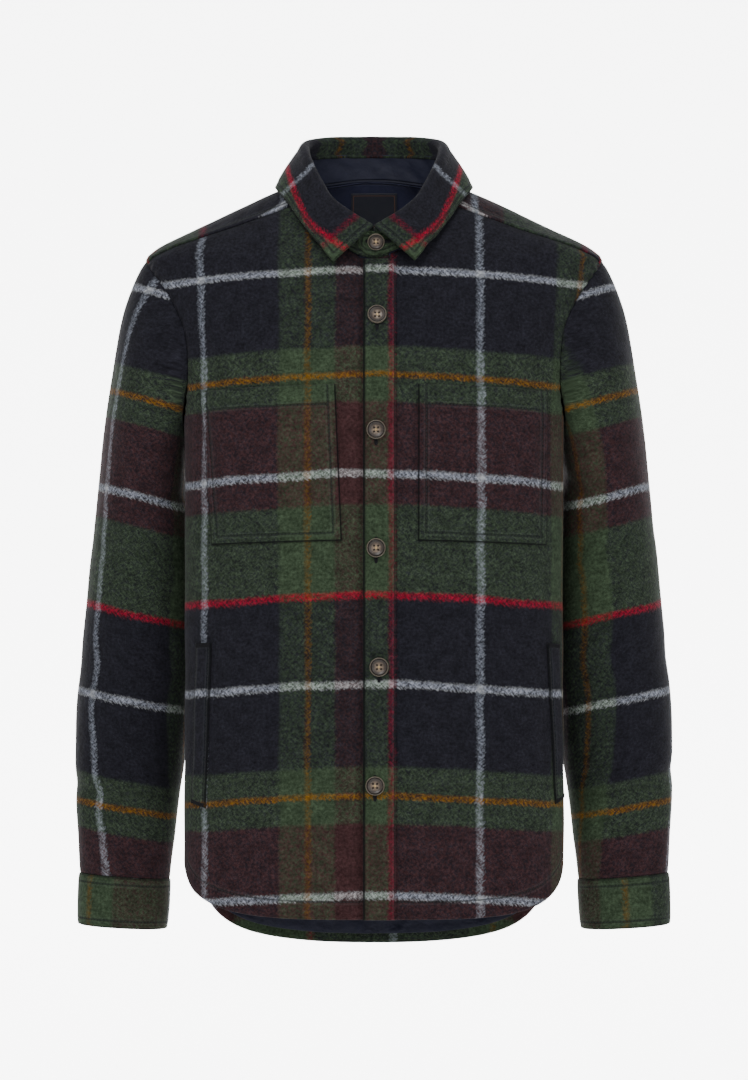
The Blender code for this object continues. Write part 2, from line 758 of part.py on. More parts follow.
def build_back(heights, turns):
    """Adds the back panel."""
    outer, inner, _ = wall_of(heights, turns)
    arm_rows = slice(0, BACK_ARM_CELLS + 1)
    for side, column, beside in ((-1, 0, 1), (1, -1, -2)):
        set_edge(outer, inner, (arm_rows, column), armhole_edge(BACK_ARM, side), -1)
        for face in (outer, inner):
            side_rows = slice(BACK_ARM_CELLS, None)
            pull(face, (side_rows, column), (side_rows, beside))
    for face in (outer, inner):
        pull(face, 0, 1)
    add_wall("back", outer, inner, GREEN_CHECK, mirrored=True)


def build_yoke(heights, turns):
    """Adds the yoke, over both shoulders."""
    outer, inner, _ = wall_of(heights, turns)
    neck_columns = slice(FRONT_COLUMNS, FRONT_COLUMNS + YOKE_NECK_CELLS + 1)
    neck_turns = np.radians(np.linspace(-LEFT_NECK[0], LEFT_NECK[0] - 360, YOKE_NECK_CELLS + 1))
    set_edge(outer, inner, (-1, neck_columns), neck_edge(neck_turns), -1)
    for side, column in ((-1, 0), (1, -1)):
        set_edge(outer, inner, (slice(None), column), armhole_edge(YOKE_ARM, side), -1)
    last = len(heights[0]) - 1
    for face in (outer, inner):
        pull(face, 0, 1)
        for columns in (slice(0, FRONT_COLUMNS + 1), slice(last - FRONT_COLUMNS, None)):
            pull(face, (-1, columns), (-2, columns), YOKE_SEAM_DRAW)
    add_wall("yoke", outer, inner, WINE_CHECK, mirrored=True)


def build_band(rows):
    """Adds the band of the left front, over both fronts' edges."""
    heights = np.array([row[0] for row in rows])
    neck_height = neck(np.array([0.0]))[0][0]
    heights = np.concatenate([[neck_height - BAND_TOP_DROP], heights])[:, None]
    places = np.array(BAND_X)[None, :]
    points, normals = surface(heights + 0 * places, turn_at(places + 0 * heights, heights))
    outer = points + (SEAM_GAP + WALL) * normals
    add_wall("placket", outer, points + SEAM_GAP * normals, WINE_CHECK)
    return outer, normals


def build_on_front(name, points, normals, rows, columns, colour):
    """Adds a patch that lies on a front, made from the front's own points moved out."""
    base = points[rows, columns]
    out = normals[rows, columns]
    add_wall(name, base + (SEAM_GAP + WALL) * out, base + SEAM_GAP * out, colour)


def ring_frame(row):
    """Middle, half width vector and half depth of a sleeve ring on the left."""
    outer_x, outer_z, inner_x, inner_z, middle_y, half_depth = row
    high = np.array([outer_x, 0, outer_z])
    low = np.array([inner_x, 0, inner_z])
    return (high + low) / 2 + [0, middle_y, 0], (high - low) / 2, half_depth


def ring_points(row, angles):
    """Points of a sleeve ring on the left, by the angle from its outside."""
    middle, half, half_depth = ring_frame(row)
    bend = 2 / SLEEVE_POWER
    across = np.sign(np.cos(angles)) * np.abs(np.cos(angles)) ** bend
    along = np.sign(np.sin(angles)) * np.abs(np.sin(angles)) ** bend
    return middle + across[:, None] * half + along[:, None] * np.array([0, -half_depth, 0])


def grid_normals(points, middles):
    """Normals of a tube's grid of points, out from its middles."""
    around = np.roll(points, -1, axis=1) - np.roll(points, 1, axis=1)
    down = np.gradient(points, axis=0)
    normals = unit(np.cross(around, down))
    out = np.sum(normals * (points - middles[:, None, :]), axis=-1, keepdims=True)
    return normals * np.sign(out)


def sleeve_fold(name, points, angles):
    """How far a sleeve's soft folds move the cloth out."""
    total = np.zeros(points.shape[:-1])
    for side, height, angle, slope, half_height, half_turn, depth in SLEEVE_FOLDS:
        if side != name:
            continue
        turn = np.degrees(angles) - angle
        turn = (turn + 180) % 360 - 180
        up = points[..., 2] - height - slope * 0.06 * np.radians(turn)
        total += depth * np.exp(-((up / half_height) ** 2) - (turn / half_turn) ** 2)
    return total


def sleeve_angles():
    """Angles of the sleeve's points at the armhole, as the body's pieces have them."""
    front = FRONT_ARM[:-1]
    back = BACK_ARM[::-1][:-1] + 2 * math.pi
    yoke = YOKE_ARM[:-1] + 2 * math.pi
    return np.concatenate([front, back, yoke])


def build_sleeve(side):
    """Adds one sleeve and its cuff, and returns the cuff's outer face and normals."""
    name = "left" if side > 0 else "right"
    at_arm = sleeve_angles()
    even = at_arm[0] + np.arange(len(at_arm)) * 2 * math.pi / len(at_arm)
    mirror = np.array([side, 1, 1])
    edge = armhole_edge(at_arm, 1)
    left_over = edge[0] - ring_points(SLEEVE_RINGS[0], at_arm)
    rings = []
    all_angles = []
    for k, row in enumerate(SLEEVE_RINGS):
        ease = min(k / EVEN_RINGS, 1)
        angles = at_arm * (1 - ease) + even * ease
        keep = max(1 - k / CAP_RINGS, 0) ** 2
        rings.append(ring_points(row, angles) + keep * left_over)
        all_angles.append(angles)
    outer = np.array(rings)
    middles = np.array([ring_frame(row)[0] for row in SLEEVE_RINGS])
    normals = grid_normals(outer, middles)
    fade = np.ones(len(outer))
    fade[:3] = [0, 0, 0.5]
    fade[-2:] = [0.5, 0]
    fold = sleeve_fold(name, outer, np.array(all_angles)) * fade[:, None]
    outer = outer + fold[..., None] * normals
    inner = outer - WALL * normals
    set_edge(outer, inner, 0, edge, 1)
    for face in (outer, inner):
        pull(face, -1, -2)
    add_wall("sleeve_" + name, outer * mirror, inner * mirror, GREEN_CHECK, around=True)

    angles = all_angles[-1]
    cuff = np.array([ring_points(row, angles) for row in CUFF_RINGS])
    middles = np.array([ring_frame(row)[0] for row in CUFF_RINGS])
    normals = grid_normals(cuff, middles)
    flat = normals * [1, 1, 0]
    inner = cuff - CUFF_WALL * unit(flat)
    for face in (cuff, inner):
        pull(face, 0, 1)
    add_wall("cuff_" + name, cuff * mirror, inner * mirror, NAVY_CHECK, around=True)

    row = CUFF_RINGS[1]
    spot = ring_points(row, np.array([CUFF_BUTTON_ANGLE]))[0]
    near = ring_points(row, np.array([CUFF_BUTTON_ANGLE - 0.05, CUFF_BUTTON_ANGLE + 0.05]))
    chord = unit(near[1] - near[0])
    out = unit(np.cross(chord, [0, 0, 1.0]))
    out = out * np.sign(np.dot(out, spot - ring_frame(row)[0]))
    return spot * mirror, out * mirror


def collar_walk():
    """Turns of the collar's columns in degrees, from the right end round the back to the tab."""
    right_end = math.degrees(math.asin(RIGHT_EDGE_X / NECK_HALF_WIDTH))
    right = [right_end] + [-turn for turn in RIGHT_NECK[::-1]]
    yoke = list(np.linspace(-LEFT_NECK[0], LEFT_NECK[0] - 360, YOKE_NECK_CELLS + 1))
    left_end = math.degrees(math.asin(LEFT_EDGE_X / NECK_HALF_WIDTH))
    tab_end = math.degrees(math.asin(TAB_END_X / NECK_HALF_WIDTH))
    left = [turn - 360 for turn in LEFT_NECK[1:] + [left_end, 0, tab_end]]
    return np.array(right + yoke[1:] + left)


def from_centre(turns):
    """Degrees from the centre front, whichever side a column stands on."""
    return np.abs((turns + 180) % 360 - 180)


def tab_lift(turns):
    """How far the left end stands out over the right end."""
    left = -turns > 180
    start, end = TAB_RAMP
    share = np.clip((start - (turns + 360)) / (start - end), 0, 1)
    return np.where(left, TAB_LIFT * share * share * (3 - 2 * share), 0)


def build_collar():
    """Adds the stand with its tab, and the leaf that turns down over it."""
    turns = collar_walk()
    centre = from_centre(turns)
    lift = tab_lift(turns)[:, None]
    foot, through, up = neck_edge(np.radians(turns))
    x, y, out = plan_ring(np.radians(turns), STAND_HALF_WIDTH, STAND_FRONT, STAND_BACK)
    top = np.stack([x, y, stand_top_z(centre)], axis=-1) + lift * out
    leaf_base = top.copy()
    top[[0, -1], 2] = stand_top_z(0) - END_DROP
    top[[1, -2], 2] -= NEXT_DROP
    foot = foot + HALF_GAP * up + lift * (out + [0, 0, TAB_RISE])
    foot[-1] += [0, 0, TAB_ROUND]
    top_outer = top + WALL / 2 * out
    top_inner = top - WALL / 2 * out
    middle_outer = (foot + top_outer) / 2 + 0.0006 * out
    outer = np.array([foot, middle_outer, top_outer])
    foot_inner = foot + WALL * through
    middle_inner = middle_outer - WALL * out
    inner = np.array([foot_inner, middle_inner, top_inner])
    add_wall("collar_stand", outer, inner, GREEN_CHECK)

    inside = slice(1, -1)
    turns, centre, out, lift = turns[inside], centre[inside], out[inside], lift[inside]
    raised = np.array([0, 0, SEAM_GAP])
    rows = [leaf_base[inside] - WALL / 2 * out + raised]
    hidden = leaf_base[inside] + WALL / 2 * out + raised
    x, y, fold_out = plan_ring(np.radians(turns), FOLD_HALF_WIDTH, FOLD_FRONT, FOLD_BACK)
    side = np.where(turns < -180, 1, -1)
    fold = np.stack([x, y, fold_top_z(centre)], axis=-1) + lift * fold_out
    aside = np.stack([side, 0 * side, 0 * side], axis=-1)
    fold[[0, -1]] += HALF_GAP * aside[[0, -1]]
    slant = np.clip(1 - centre / END_SLANT_TURN, 0, 1)[:, None]
    for outward, down in FOLD_SECTION:
        across = max(outward, 0) / FOLD_SECTION[-1][0] * down
        rows.append(fold + outward * fold_out - np.array([0, 0, down]) + across * slant * aside)
    edge_turns = np.radians(leaf_turn(centre)) * side
    edge = form_point(leaf_z(centre), edge_turns)
    edge = edge + (leaf_lift(centre)[:, None] + lift) * form_normal(edge)
    last = rows[-1]
    for cell in range(1, FALL_CELLS + 1):
        share = cell / FALL_CELLS
        bulge = FALL_BULGE * math.sin(math.pi * share)
        rows.append(last + (edge - last) * share + bulge * fold_out)
    visible = np.array(rows)
    across = np.gradient(visible, axis=1)
    down = np.gradient(visible, axis=0)
    normals = unit(np.cross(across, down))
    facing = np.sign(np.sum(normals[-1] * fold_out, axis=-1).mean())
    back_face = visible - LEAF_WALL * facing * normals
    back_face[0] = hidden
    add_wall("collar_leaf", visible, back_face, NAVY_CHECK)
    return foot, top_outer, turns


def build_lining(name, heights, turns, short=0.0):
    """Adds a lining inside a panel, from the panel's own points moved in.

    It ends short of the panel's last row by this share of the last cells.
    """
    points, normals = surface(heights, turns)
    points[-1] += (points[-2] - points[-1]) * short
    normals[-1] = unit(normals[-1] + (normals[-2] - normals[-1]) * short)
    near = points - (WALL + 2 * SEAM_GAP) * normals
    far = near - LINING_WALL * normals
    for face in (near, far):
        pull(face, 0, 1)
        pull(face, -1, -2)
    add_wall(name, near, far, LINING_NAVY, mirrored=True)


def build_label():
    """Adds the neck label, flat against the yoke's lining."""
    x = np.linspace(-LABEL_HALF_WIDTH, LABEL_HALF_WIDTH, 5)[None, :]
    height = np.linspace(LABEL_TOP_Z, LABEL_BOTTOM_Z, 4)[:, None]
    height = height + 0 * x
    share = (np.abs(x) / half_width(height)) ** (BACK_POWER / 2)
    turn = np.sign(x) * (math.pi - np.arcsin(share))
    turn = np.where(x == 0, math.pi, turn)
    points, normals = surface(height, turn)
    depth = WALL + 3 * SEAM_GAP + LINING_WALL + LABEL_CLEAR
    near = points - depth * normals
    add_piece("label", *closed_wall(near, near - LABEL_WALL * normals), LABEL_DARK)


def build_button(name, place, out, radius):
    """Adds a turned button, seated on the cloth along the way out."""
    out = unit(np.asarray(out, float))
    side = unit(np.cross([0, 0, 1.0], out))
    up = np.cross(out, side)
    rings = []
    for share, rise in BUTTON_SECTION[1:-1]:
        angles = np.arange(BUTTON_SIDES) * 2 * math.pi / BUTTON_SIDES
        flat = np.cos(angles)[:, None] * side + np.sin(angles)[:, None] * up
        rings.append(place + share * radius * flat + (rise + SEAM_GAP) * out)
    foot = place + (BUTTON_SECTION[0][1] + SEAM_GAP) * out
    crown = place + (BUTTON_SECTION[-1][1] + SEAM_GAP) * out
    vertices = np.concatenate([*rings, [foot], [crown]])
    faces = []
    count = BUTTON_SIDES
    last = (len(rings) - 1) * count
    for i in range(count):
        after = (i + 1) % count
        for k in range(len(rings) - 1):
            a, b = k * count + i, k * count + after
            faces += [(a, b, b + count), (a, b + count, a + count)]
        faces.append((after, i, len(vertices) - 2))
        faces.append((last + i, last + after, len(vertices) - 1))
    add_piece(name, vertices, faces, HORN_BROWN, 0.35)


def place_on(outer, normals, x, height):
    """Point and normal of a panel's outer face nearest to a place seen from the front."""
    rows = outer[:, 1, 2]
    at = np.clip(np.searchsorted(-rows, -height), 1, len(rows) - 1)
    share = (rows[at - 1] - height) / (rows[at - 1] - rows[at])
    point = outer[at - 1, 1] * (1 - share) + outer[at, 1] * share
    normal = unit(normals[at - 1, 1] * (1 - share) + normals[at, 1] * share)
    return np.array([x, point[1], height]), normal * [0, 1, 1]


def main():
    """Builds every piece of the jacket."""
    for piece in list(bpy.data.objects):
        bpy.data.objects.remove(piece, do_unlink=True)

    fronts = {side: front_grid(side) for side in (-1, 1)}
    back_heights, back_turns = back_grid()
    yoke_heights, yoke_turns = yoke_grid(back_heights[0], back_turns[0], fronts)
    build_back(back_heights, back_turns)
    build_yoke(yoke_heights, yoke_turns)
    pocket_rows = slice(POCKET_TOP_ROW, POCKET_BOTTOM_ROW + 1)
    pocket_columns = slice(INNER_CELLS, INNER_CELLS + POCKET_CELLS + 1)
    welt_rows = slice(WELT_TOP_ROW, WELT_BOTTOM_ROW + 1)
    welt_column = INNER_CELLS + POCKET_CELLS
    for side, name in ((-1, "right"), (1, "left")):
        points, normals = build_front(side, *fronts[side])
        build_on_front(
            "pocket_" + name, points, normals, pocket_rows, pocket_columns, GREEN_CHECK
        )
        welt_columns = slice(welt_column, welt_column + 2)
        build_on_front("welt_" + name, points, normals, welt_rows, welt_columns, NAVY_CHECK)
        spot, out = build_sleeve(side)
        build_button("cuff_button_" + name, spot, out, CUFF_BUTTON_RADIUS)

    band, band_normals = build_band(FRONT_ROWS)
    for number, (height, x) in enumerate(FRONT_BUTTONS, start=2):
        place, out = place_on(band, band_normals, x, height)
        build_button(f"button_{number}", place, out, BUTTON_RADIUS)

    foot, top, _ = build_collar()
    height, x = TOP_BUTTON
    share = (height - foot[-2, 2]) / (top[-2, 2] - foot[-2, 2])
    seat = foot[-2] * (1 - share) + top[-2] * share
    lean = unit(np.cross([1.0, 0, 0], top[-2] - foot[-2]))
    out = lean * np.sign(-lean[1])
    build_button("button_1", np.array([x, seat[1] - 0.0008, height]), out, TOP_BUTTON_RADIUS)

    inside = (slice(None), slice(1, -1))
    build_lining("yoke_lining", yoke_heights[inside], yoke_turns[inside])
    build_lining("back_lining", back_heights[inside], back_turns[inside], LINING_SHORT_OF_HEM)
    build_label()


main()
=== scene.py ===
"""Looks of the shacket: cloth shells, tartan, lining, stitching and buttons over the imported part.

Metres, +Z up, the front faces -Y and the wearer's left is +X, as in the frame.
"""
import math

import bpy
import numpy as np
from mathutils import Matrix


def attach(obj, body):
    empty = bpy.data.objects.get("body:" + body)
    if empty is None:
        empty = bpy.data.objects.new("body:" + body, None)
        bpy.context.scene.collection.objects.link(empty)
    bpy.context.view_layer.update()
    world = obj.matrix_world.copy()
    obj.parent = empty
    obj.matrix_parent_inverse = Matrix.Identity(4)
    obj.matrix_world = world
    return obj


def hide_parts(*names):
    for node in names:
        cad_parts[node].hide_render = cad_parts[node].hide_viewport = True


# Cloth
WALL = 0.0025
LEAF_WALL = 0.0032
CUFF_WALL = 0.0035
LINING_WALL = 0.0010
SEAM_GAP = 0.0003
SIDE_NAMES = {1: "left", -1: "right"}

# Body form: one row a level, sections are superellipses around a widest line
# height, half_width, widest_y, front_y, back_y
FORM = [
    (-0.800, 0.188, -0.040, -0.132, 0.118),
    (-0.655, 0.188, -0.042, -0.132, 0.116),
    (-0.480, 0.187, -0.045, -0.130, 0.108),
    (-0.330, 0.187, -0.045, -0.132, 0.112),
    (-0.235, 0.188, -0.035, -0.130, 0.118),
    (-0.145, 0.206, -0.018, -0.116, 0.116),
    (-0.067, 0.229, 0.002, -0.088, 0.100),
    (-0.057, 0.220, 0.002, -0.082, 0.096),
    (-0.035, 0.178, 0.001, -0.068, 0.086),
    (-0.005, 0.114, 0.000, -0.046, 0.074),
    (0.011, 0.078, 0.000, -0.034, 0.067),
    (0.020, 0.056, 0.000, -0.026, 0.062),
    (0.036, 0.010, 0.000, -0.005, 0.030),
]
FRONT_POWER = 2.6
BACK_POWER = 2.2

# Neck seam, in plan
NECK_HALF_WIDTH = 0.078
NECK_FRONT = 0.089
NECK_BACK = 0.062

# Armhole, from the shoulder tip round the front to the underarm and up the back
SHOULDER_Z = -0.067
UNDERARM_Z = -0.235
SHOULDER_TURN = math.radians(90)
SIDE_TURN = math.radians(102)
ARMHOLE_FRONT_SPREAD = math.radians(34)
ARMHOLE_BACK_SPREAD = math.radians(27)
YOKE_FRONT_ANGLE = 0.34
YOKE_BACK_ANGLE = -0.917
FRONT_ARM_CELLS = 12
BACK_ARM_CELLS = 7

# Centre front
LEFT_EDGE_X = 0.0160
RIGHT_EDGE_X = 0.0155
BAND_X = (-0.0107, 0.0214)
# Trough of the cloth beside the band: depth, distance from the band, half width
BAND_TROUGH = (0.0030, 0.0012, 0.0034)
LEFT_NECK = [60.0, 50.0, 40.0, 30.0, 20.0]
RIGHT_NECK = [60.0, 46.0, 32.0, 16.0, 0.0]
TAB_END_X = -0.0160
FRONT_SEAM_BOW = 0.003
CORNER_DIP = 0.0085
CORNER_POWER = 0.35

# Front rows below the neck: height at the centre, height at the side seam, bend of the row
FRONT_ROWS = [
    (-0.108, None, 1.0),
    (-0.150, None, 1.0),
    (-0.1925, None, 1.0),
    (-0.203, None, 1.0),
    (-0.212, None, 1.0),
    (-0.220, None, 1.0),
    (-0.228, None, 1.0),
    (-0.257, -0.265, 1.0),
    (-0.286, -0.295, 1.0),
    (-0.315, -0.3245, 1.0),
    (-0.345, -0.3545, 1.0),
    (-0.394, -0.402, 1.0),
    (-0.441, -0.450, 1.2),
    (-0.492, -0.500, 1.5),
    (-0.552, -0.545, 2.0),
    (-0.613, -0.582, 3.0),
    (-0.654, -0.608, 3.0),
    (-0.688, -0.622, 3.0),
    (-0.714, -0.632, 3.0),
]
NECK_ROWS = 5
POCKET_TOP_ROW = NECK_ROWS + 3
POCKET_BOTTOM_ROW = NECK_ROWS + 11
WELT_TOP_ROW = NECK_ROWS + 13
WELT_BOTTOM_ROW = NECK_ROWS + 16

# Pocket and welt edges on each front: height, then distance from the centre line
POCKET_EDGES = {
    "right": (
        [(-0.194, 0.0375), (-0.3465, 0.0310)],
        [(-0.200, 0.1686), (-0.352, 0.1580), (-0.450, 0.1580), (-0.605, 0.1640)],
    ),
    "left": (
        [(-0.196, 0.0430), (-0.3466, 0.0427)],
        [(-0.2007, 0.1695), (-0.3534, 0.1680), (-0.448, 0.1685), (-0.6046, 0.1770)],
    ),
}
WELT_WIDTH = 0.021
INNER_CELLS = 2
POCKET_CELLS = 5
OUTER_CELLS = 2

# Back rows: height at the centre back, height at the side seam, share of the tail's curve
BACK_ROWS = [
    (-0.092, None, 0.0),
    (-0.116, None, 0.0),
    (-0.143, None, 0.0),
    (-0.170, None, 0.0),
    (-0.194, None, 0.0),
    (-0.214, None, 0.0),
    (-0.228, None, 0.0),
    (-0.238, None, 0.0),
    (-0.268, -0.265, 0.0),
    (-0.299, -0.295, 0.0),
    (-0.330, -0.3245, 0.0),
    (-0.362, -0.3545, 0.0),
    (-0.411, -0.402, 0.0),
    (-0.462, -0.450, 0.0),
    (-0.515, -0.500, 0.1),
    (-0.568, -0.545, 0.3),
    (-0.620, -0.582, 0.5),
    (-0.670, -0.608, 0.7),
    (-0.716, -0.622, 0.9),
    (-0.758, -0.632, 1.0),
]
BACK_CELLS = 30
LINING_SHORT_OF_HEM = 0.43
LINING_HANG = 0.55
TAIL_ROUND = 0.6

# Points of the lines that grids are laid along
LINE_POINTS = 121
BACK_LINE_POINTS = 241
# Yoke's grid: points of each of a row's three parts, rows, and length share of its outer parts
YOKE_PART_POINTS = 81
YOKE_ROWS = 61
YOKE_ARM_SHARE = 0.24
# Search for the height of a place in plan
PLAN_HALVINGS = 40
PLAN_LOWEST_Z = -0.2
PLAN_GROWTH = 0.3
# Step in height and turn over which the form's slope is taken
NORMAL_STEP = 0.0008
# Distance from a stitched edge of points that have none
FAR = 0.5

# Sleeve rings: outer x and z, inner x and z, middle y, half depth
SLEEVE_RINGS = [
    (0.2290, -0.0670, 0.1830, -0.2350, -0.007, 0.0670),
    (0.2395, -0.0880, 0.1845, -0.2420, -0.004, 0.0700),
    (0.2500, -0.1170, 0.1860, -0.2500, 0.000, 0.0720),
    (0.2570, -0.1500, 0.1875, -0.2620, 0.005, 0.0720),
    (0.2635, -0.1880, 0.1880, -0.2790, 0.011, 0.0715),
    (0.2700, -0.2280, 0.1865, -0.3020, 0.018, 0.0710),
    (0.2755, -0.2720, 0.1840, -0.3320, 0.025, 0.0700),
    (0.2800, -0.3180, 0.1810, -0.3660, 0.031, 0.0685),
    (0.2855, -0.3620, 0.1790, -0.4000, 0.035, 0.0660),
    (0.2895, -0.4050, 0.1785, -0.4360, 0.038, 0.0640),
    (0.2940, -0.4480, 0.1800, -0.4720, 0.040, 0.0620),
    (0.2980, -0.4900, 0.1830, -0.5080, 0.040, 0.0590),
    (0.3005, -0.5300, 0.1870, -0.5430, 0.039, 0.0550),
    (0.3015, -0.5680, 0.1920, -0.5770, 0.038, 0.0500),
    (0.3005, -0.6050, 0.1970, -0.6110, 0.036, 0.0450),
    (0.2985, -0.6430, 0.2015, -0.6480, 0.035, 0.0400),
    (0.2962, -0.6790, 0.2057, -0.6855, 0.034, 0.0365),
]
CUFF_RINGS = [
    (0.2968, -0.6793, 0.2047, -0.6858, 0.034, 0.0375),
    (0.2980, -0.7050, 0.2060, -0.7110, 0.034, 0.0380),
    (0.2985, -0.7310, 0.2085, -0.7360, 0.034, 0.0385),
]
# Roundness of a ring's corners, rings over which the cap meets the armhole, points of a ring
SLEEVE_POWER = 2.15
CAP_RINGS = 6
TUBE_POINTS = 121
# Length over which the weft's tilt changes, and where its axis lies at both ends
TUBE_LENGTH = 0.62
TUBE_AXIS_X = (0.228, 0.250)

# Soft folds of the body: face, x, height, lean from upright in degrees, half length,
# half width, depth out of the cloth
BODY_FOLDS = [
    ("front", -0.172, -0.150, -24, 0.055, 0.011, -0.0028),
    ("front", -0.150, -0.165, -30, 0.060, 0.014, 0.0022),
    ("front", 0.170, -0.155, 22, 0.060, 0.011, -0.0026),
    ("front", 0.146, -0.180, 30, 0.055, 0.014, 0.0020),
    ("front", -0.120, -0.640, 6, 0.090, 0.026, -0.0030),
    ("front", 0.112, -0.625, -5, 0.100, 0.026, -0.0028),
    ("front", -0.075, -0.440, 3, 0.090, 0.024, -0.0022),
    ("front", 0.082, -0.455, -4, 0.080, 0.024, -0.0020),
    ("back", -0.085, -0.230, 5, 0.120, 0.020, -0.0045),
    ("back", 0.078, -0.250, -4, 0.130, 0.020, -0.0040),
    ("back", -0.125, -0.430, 20, 0.080, 0.018, -0.0050),
    ("back", 0.130, -0.450, -22, 0.085, 0.018, -0.0045),
    ("back", -0.045, -0.640, 4, 0.110, 0.028, -0.0050),
    ("back", 0.065, -0.625, -5, 0.110, 0.028, -0.0045),
]

# Soft folds of the sleeves: side, height, angle round from the outside in degrees (front
# positive), slope along the turn, half height, half turn in degrees, depth
SLEEVE_FOLDS = [
    ("left", -0.300, 118, 0.30, 0.011, 62, -0.0040),
    ("left", -0.352, 100, -0.20, 0.014, 58, -0.0040),
    ("left", -0.452, 60, 0.15, 0.018, 52, -0.0035),
    ("left", -0.588, 50, -0.25, 0.012, 66, -0.0035),
    ("left", -0.410, 250, 0.20, 0.016, 60, -0.0045),
    ("left", -0.545, 235, -0.20, 0.014, 60, -0.0040),
    ("right", -0.310, 122, 0.25, 0.011, 60, -0.0040),
    ("right", -0.366, 96, -0.15, 0.014, 60, -0.0038),
    ("right", -0.470, 66, 0.10, 0.018, 50, -0.0035),
    ("right", -0.600, 54, -0.20, 0.012, 64, -0.0035),
    ("right", -0.425, 245, 0.20, 0.016, 60, -0.0045),
    ("right", -0.560, 238, -0.15, 0.014, 60, -0.0040),
]

# Collar, by degrees from the centre front: top of the stand, top of the fold
COLLAR_TOP = [
    (0, -0.0420, -0.0365),
    (11, -0.0360, -0.0290),
    (21, -0.0295, -0.0215),
    (38, -0.0160, -0.0067),
    (54, 0.0030, 0.0155),
    (70, 0.0200, 0.0345),
    (90, 0.0340, 0.0505),
    (120, 0.0410, 0.0585),
    (150, 0.0445, 0.0625),
    (180, 0.0455, 0.0635),
]
STAND_HALF_WIDTH = 0.0725
STAND_FRONT = 0.0945
STAND_BACK = 0.0595
FOLD_HALF_WIDTH = 0.0690
FOLD_FRONT = 0.0965
FOLD_BACK = 0.0600
# Leaf's free edge, by the same degrees: turn on the body, height, lift off the body
LEAF_EDGE = [
    (0, 6.0, -0.0770, 0.0100),
    (16, 8.5, -0.0625, 0.0090),
    (32, 12.7, -0.0480, 0.0075),
    (46, 19.4, -0.0330, 0.0062),
    (60, 31.0, -0.0170, 0.0050),
    (75, 50.0, -0.0050, 0.0046),
    (90, 80.0, 0.0020, 0.0046),
    (108, 112.0, 0.0030, 0.0050),
    (132, 142.0, 0.0050, 0.0090),
    (156, 163.0, 0.0060, 0.0140),
    (180, 180.0, 0.0060, 0.0170),
]
FOLD_SECTION = [
    (-0.0045, 0.0052),
    (-0.0024, 0.0013),
    (0.0010, 0.0000),
    (0.0045, 0.0022),
    (0.0078, 0.0080),
]
# Leaf's bulge below the fold, and how far it is tucked into the stand: inward, down
FALL_BULGE = 0.0012
LEAF_TUCK = (0.0016, 0.0036)
# Left end of the collar, over the right end: lift, turns of its rise, round end, lean
TAB_LIFT = 0.0031
TAB_RAMP = (34.0, 12.0)
TAB_ROUND = 0.0055
TAB_RISE = 0.85
END_DROP = 0.0045
END_SLANT_TURN = 16.0

# Buttons: height of each centre, x of each centre
FRONT_BUTTONS = [
    (-0.1255, 0.0030),
    (-0.2378, 0.0020),
    (-0.3525, 0.0020),
    (-0.4683, 0.0049),
    (-0.5836, 0.0010),
]
TOP_BUTTON = (-0.0527, 0.0020)
BUTTON_RADIUS = 0.0093
TOP_BUTTON_RADIUS = 0.0083
CUFF_BUTTON_RADIUS = 0.0075
CUFF_BUTTON_ANGLE = math.radians(-78)

# Label
LABEL_HALF_WIDTH = 0.024
LABEL_TOP_Z = 0.0085
LABEL_BOTTOM_Z = -0.0270
LABEL_WALL = 0.0006
LABEL_CLEAR = 0.0009

# Tartan: where each stripe of the repeat ends, from the middle of the navy block's white line
SETT_REPEAT = 0.410
SETT = [
    (0.0036, "white"),
    (0.0800, "navy"),
    (0.1055, "green"),
    (0.1110, "gold"),
    (0.1350, "green"),
    (0.2014, "wine"),
    (0.2086, "white"),
    (0.2350, "wine"),
    (0.3200, "green"),
    (0.3265, "red"),
    (0.4064, "navy"),
    (0.4100, "white"),
]
WEFT_YARN = {
    "navy": (24, 24, 30),
    "green": (46, 57, 42),
    "wine": (51, 31, 32),
    "red": (124, 6, 33),
    "gold": (100, 67, 12),
    "white": (134, 136, 138),
}
WARP_YARN = {
    "navy": (24, 24, 30),
    "green": (42, 53, 39),
    "wine": (45, 29, 30),
    "red": (80, 14, 30),
    "gold": (76, 54, 16),
    "white": (106, 110, 118),
}
# How a yarn colours the white one that it crosses
CAST = {
    "navy": (0.60, 0.67, 1.0),
    "green": (0.76, 1.0, 0.76),
    "wine": (1.0, 0.79, 0.75),
    "red": (1.0, 0.34, 0.42),
    "gold": (1.0, 0.74, 0.36),
    "white": (1.0, 1.0, 1.0),
}
# Share of the surface that the weft has on average
WEFT_SHARE = 0.54
# Height of a navy line's middle, and its distance from each piece's own middle line
WEFT_LEVEL = -0.080
LEFT_WARP = 0.104
RIGHT_WARP = -0.173
# How far the weft drops at a distance from the centre, and the power that it follows
ROW_SAG = 0.012
SAG_HALF_WIDTH = 0.185
SAG_POWER = 1.6
BACK_CLOTH_SHIFT = 0.020
# Half width of the change from one stripe to the next
STRIPE_SOFT = 0.0009


def hermite(start, end, slope_in, slope_out, t):
    """Smooth curve between two values with the slopes that it has there."""
    first = start * (1 + 2 * t) * (1 - t) ** 2 + slope_in * t * (1 - t) ** 2
    return first + end * t * t * (3 - 2 * t) + slope_out * t * t * (t - 1)


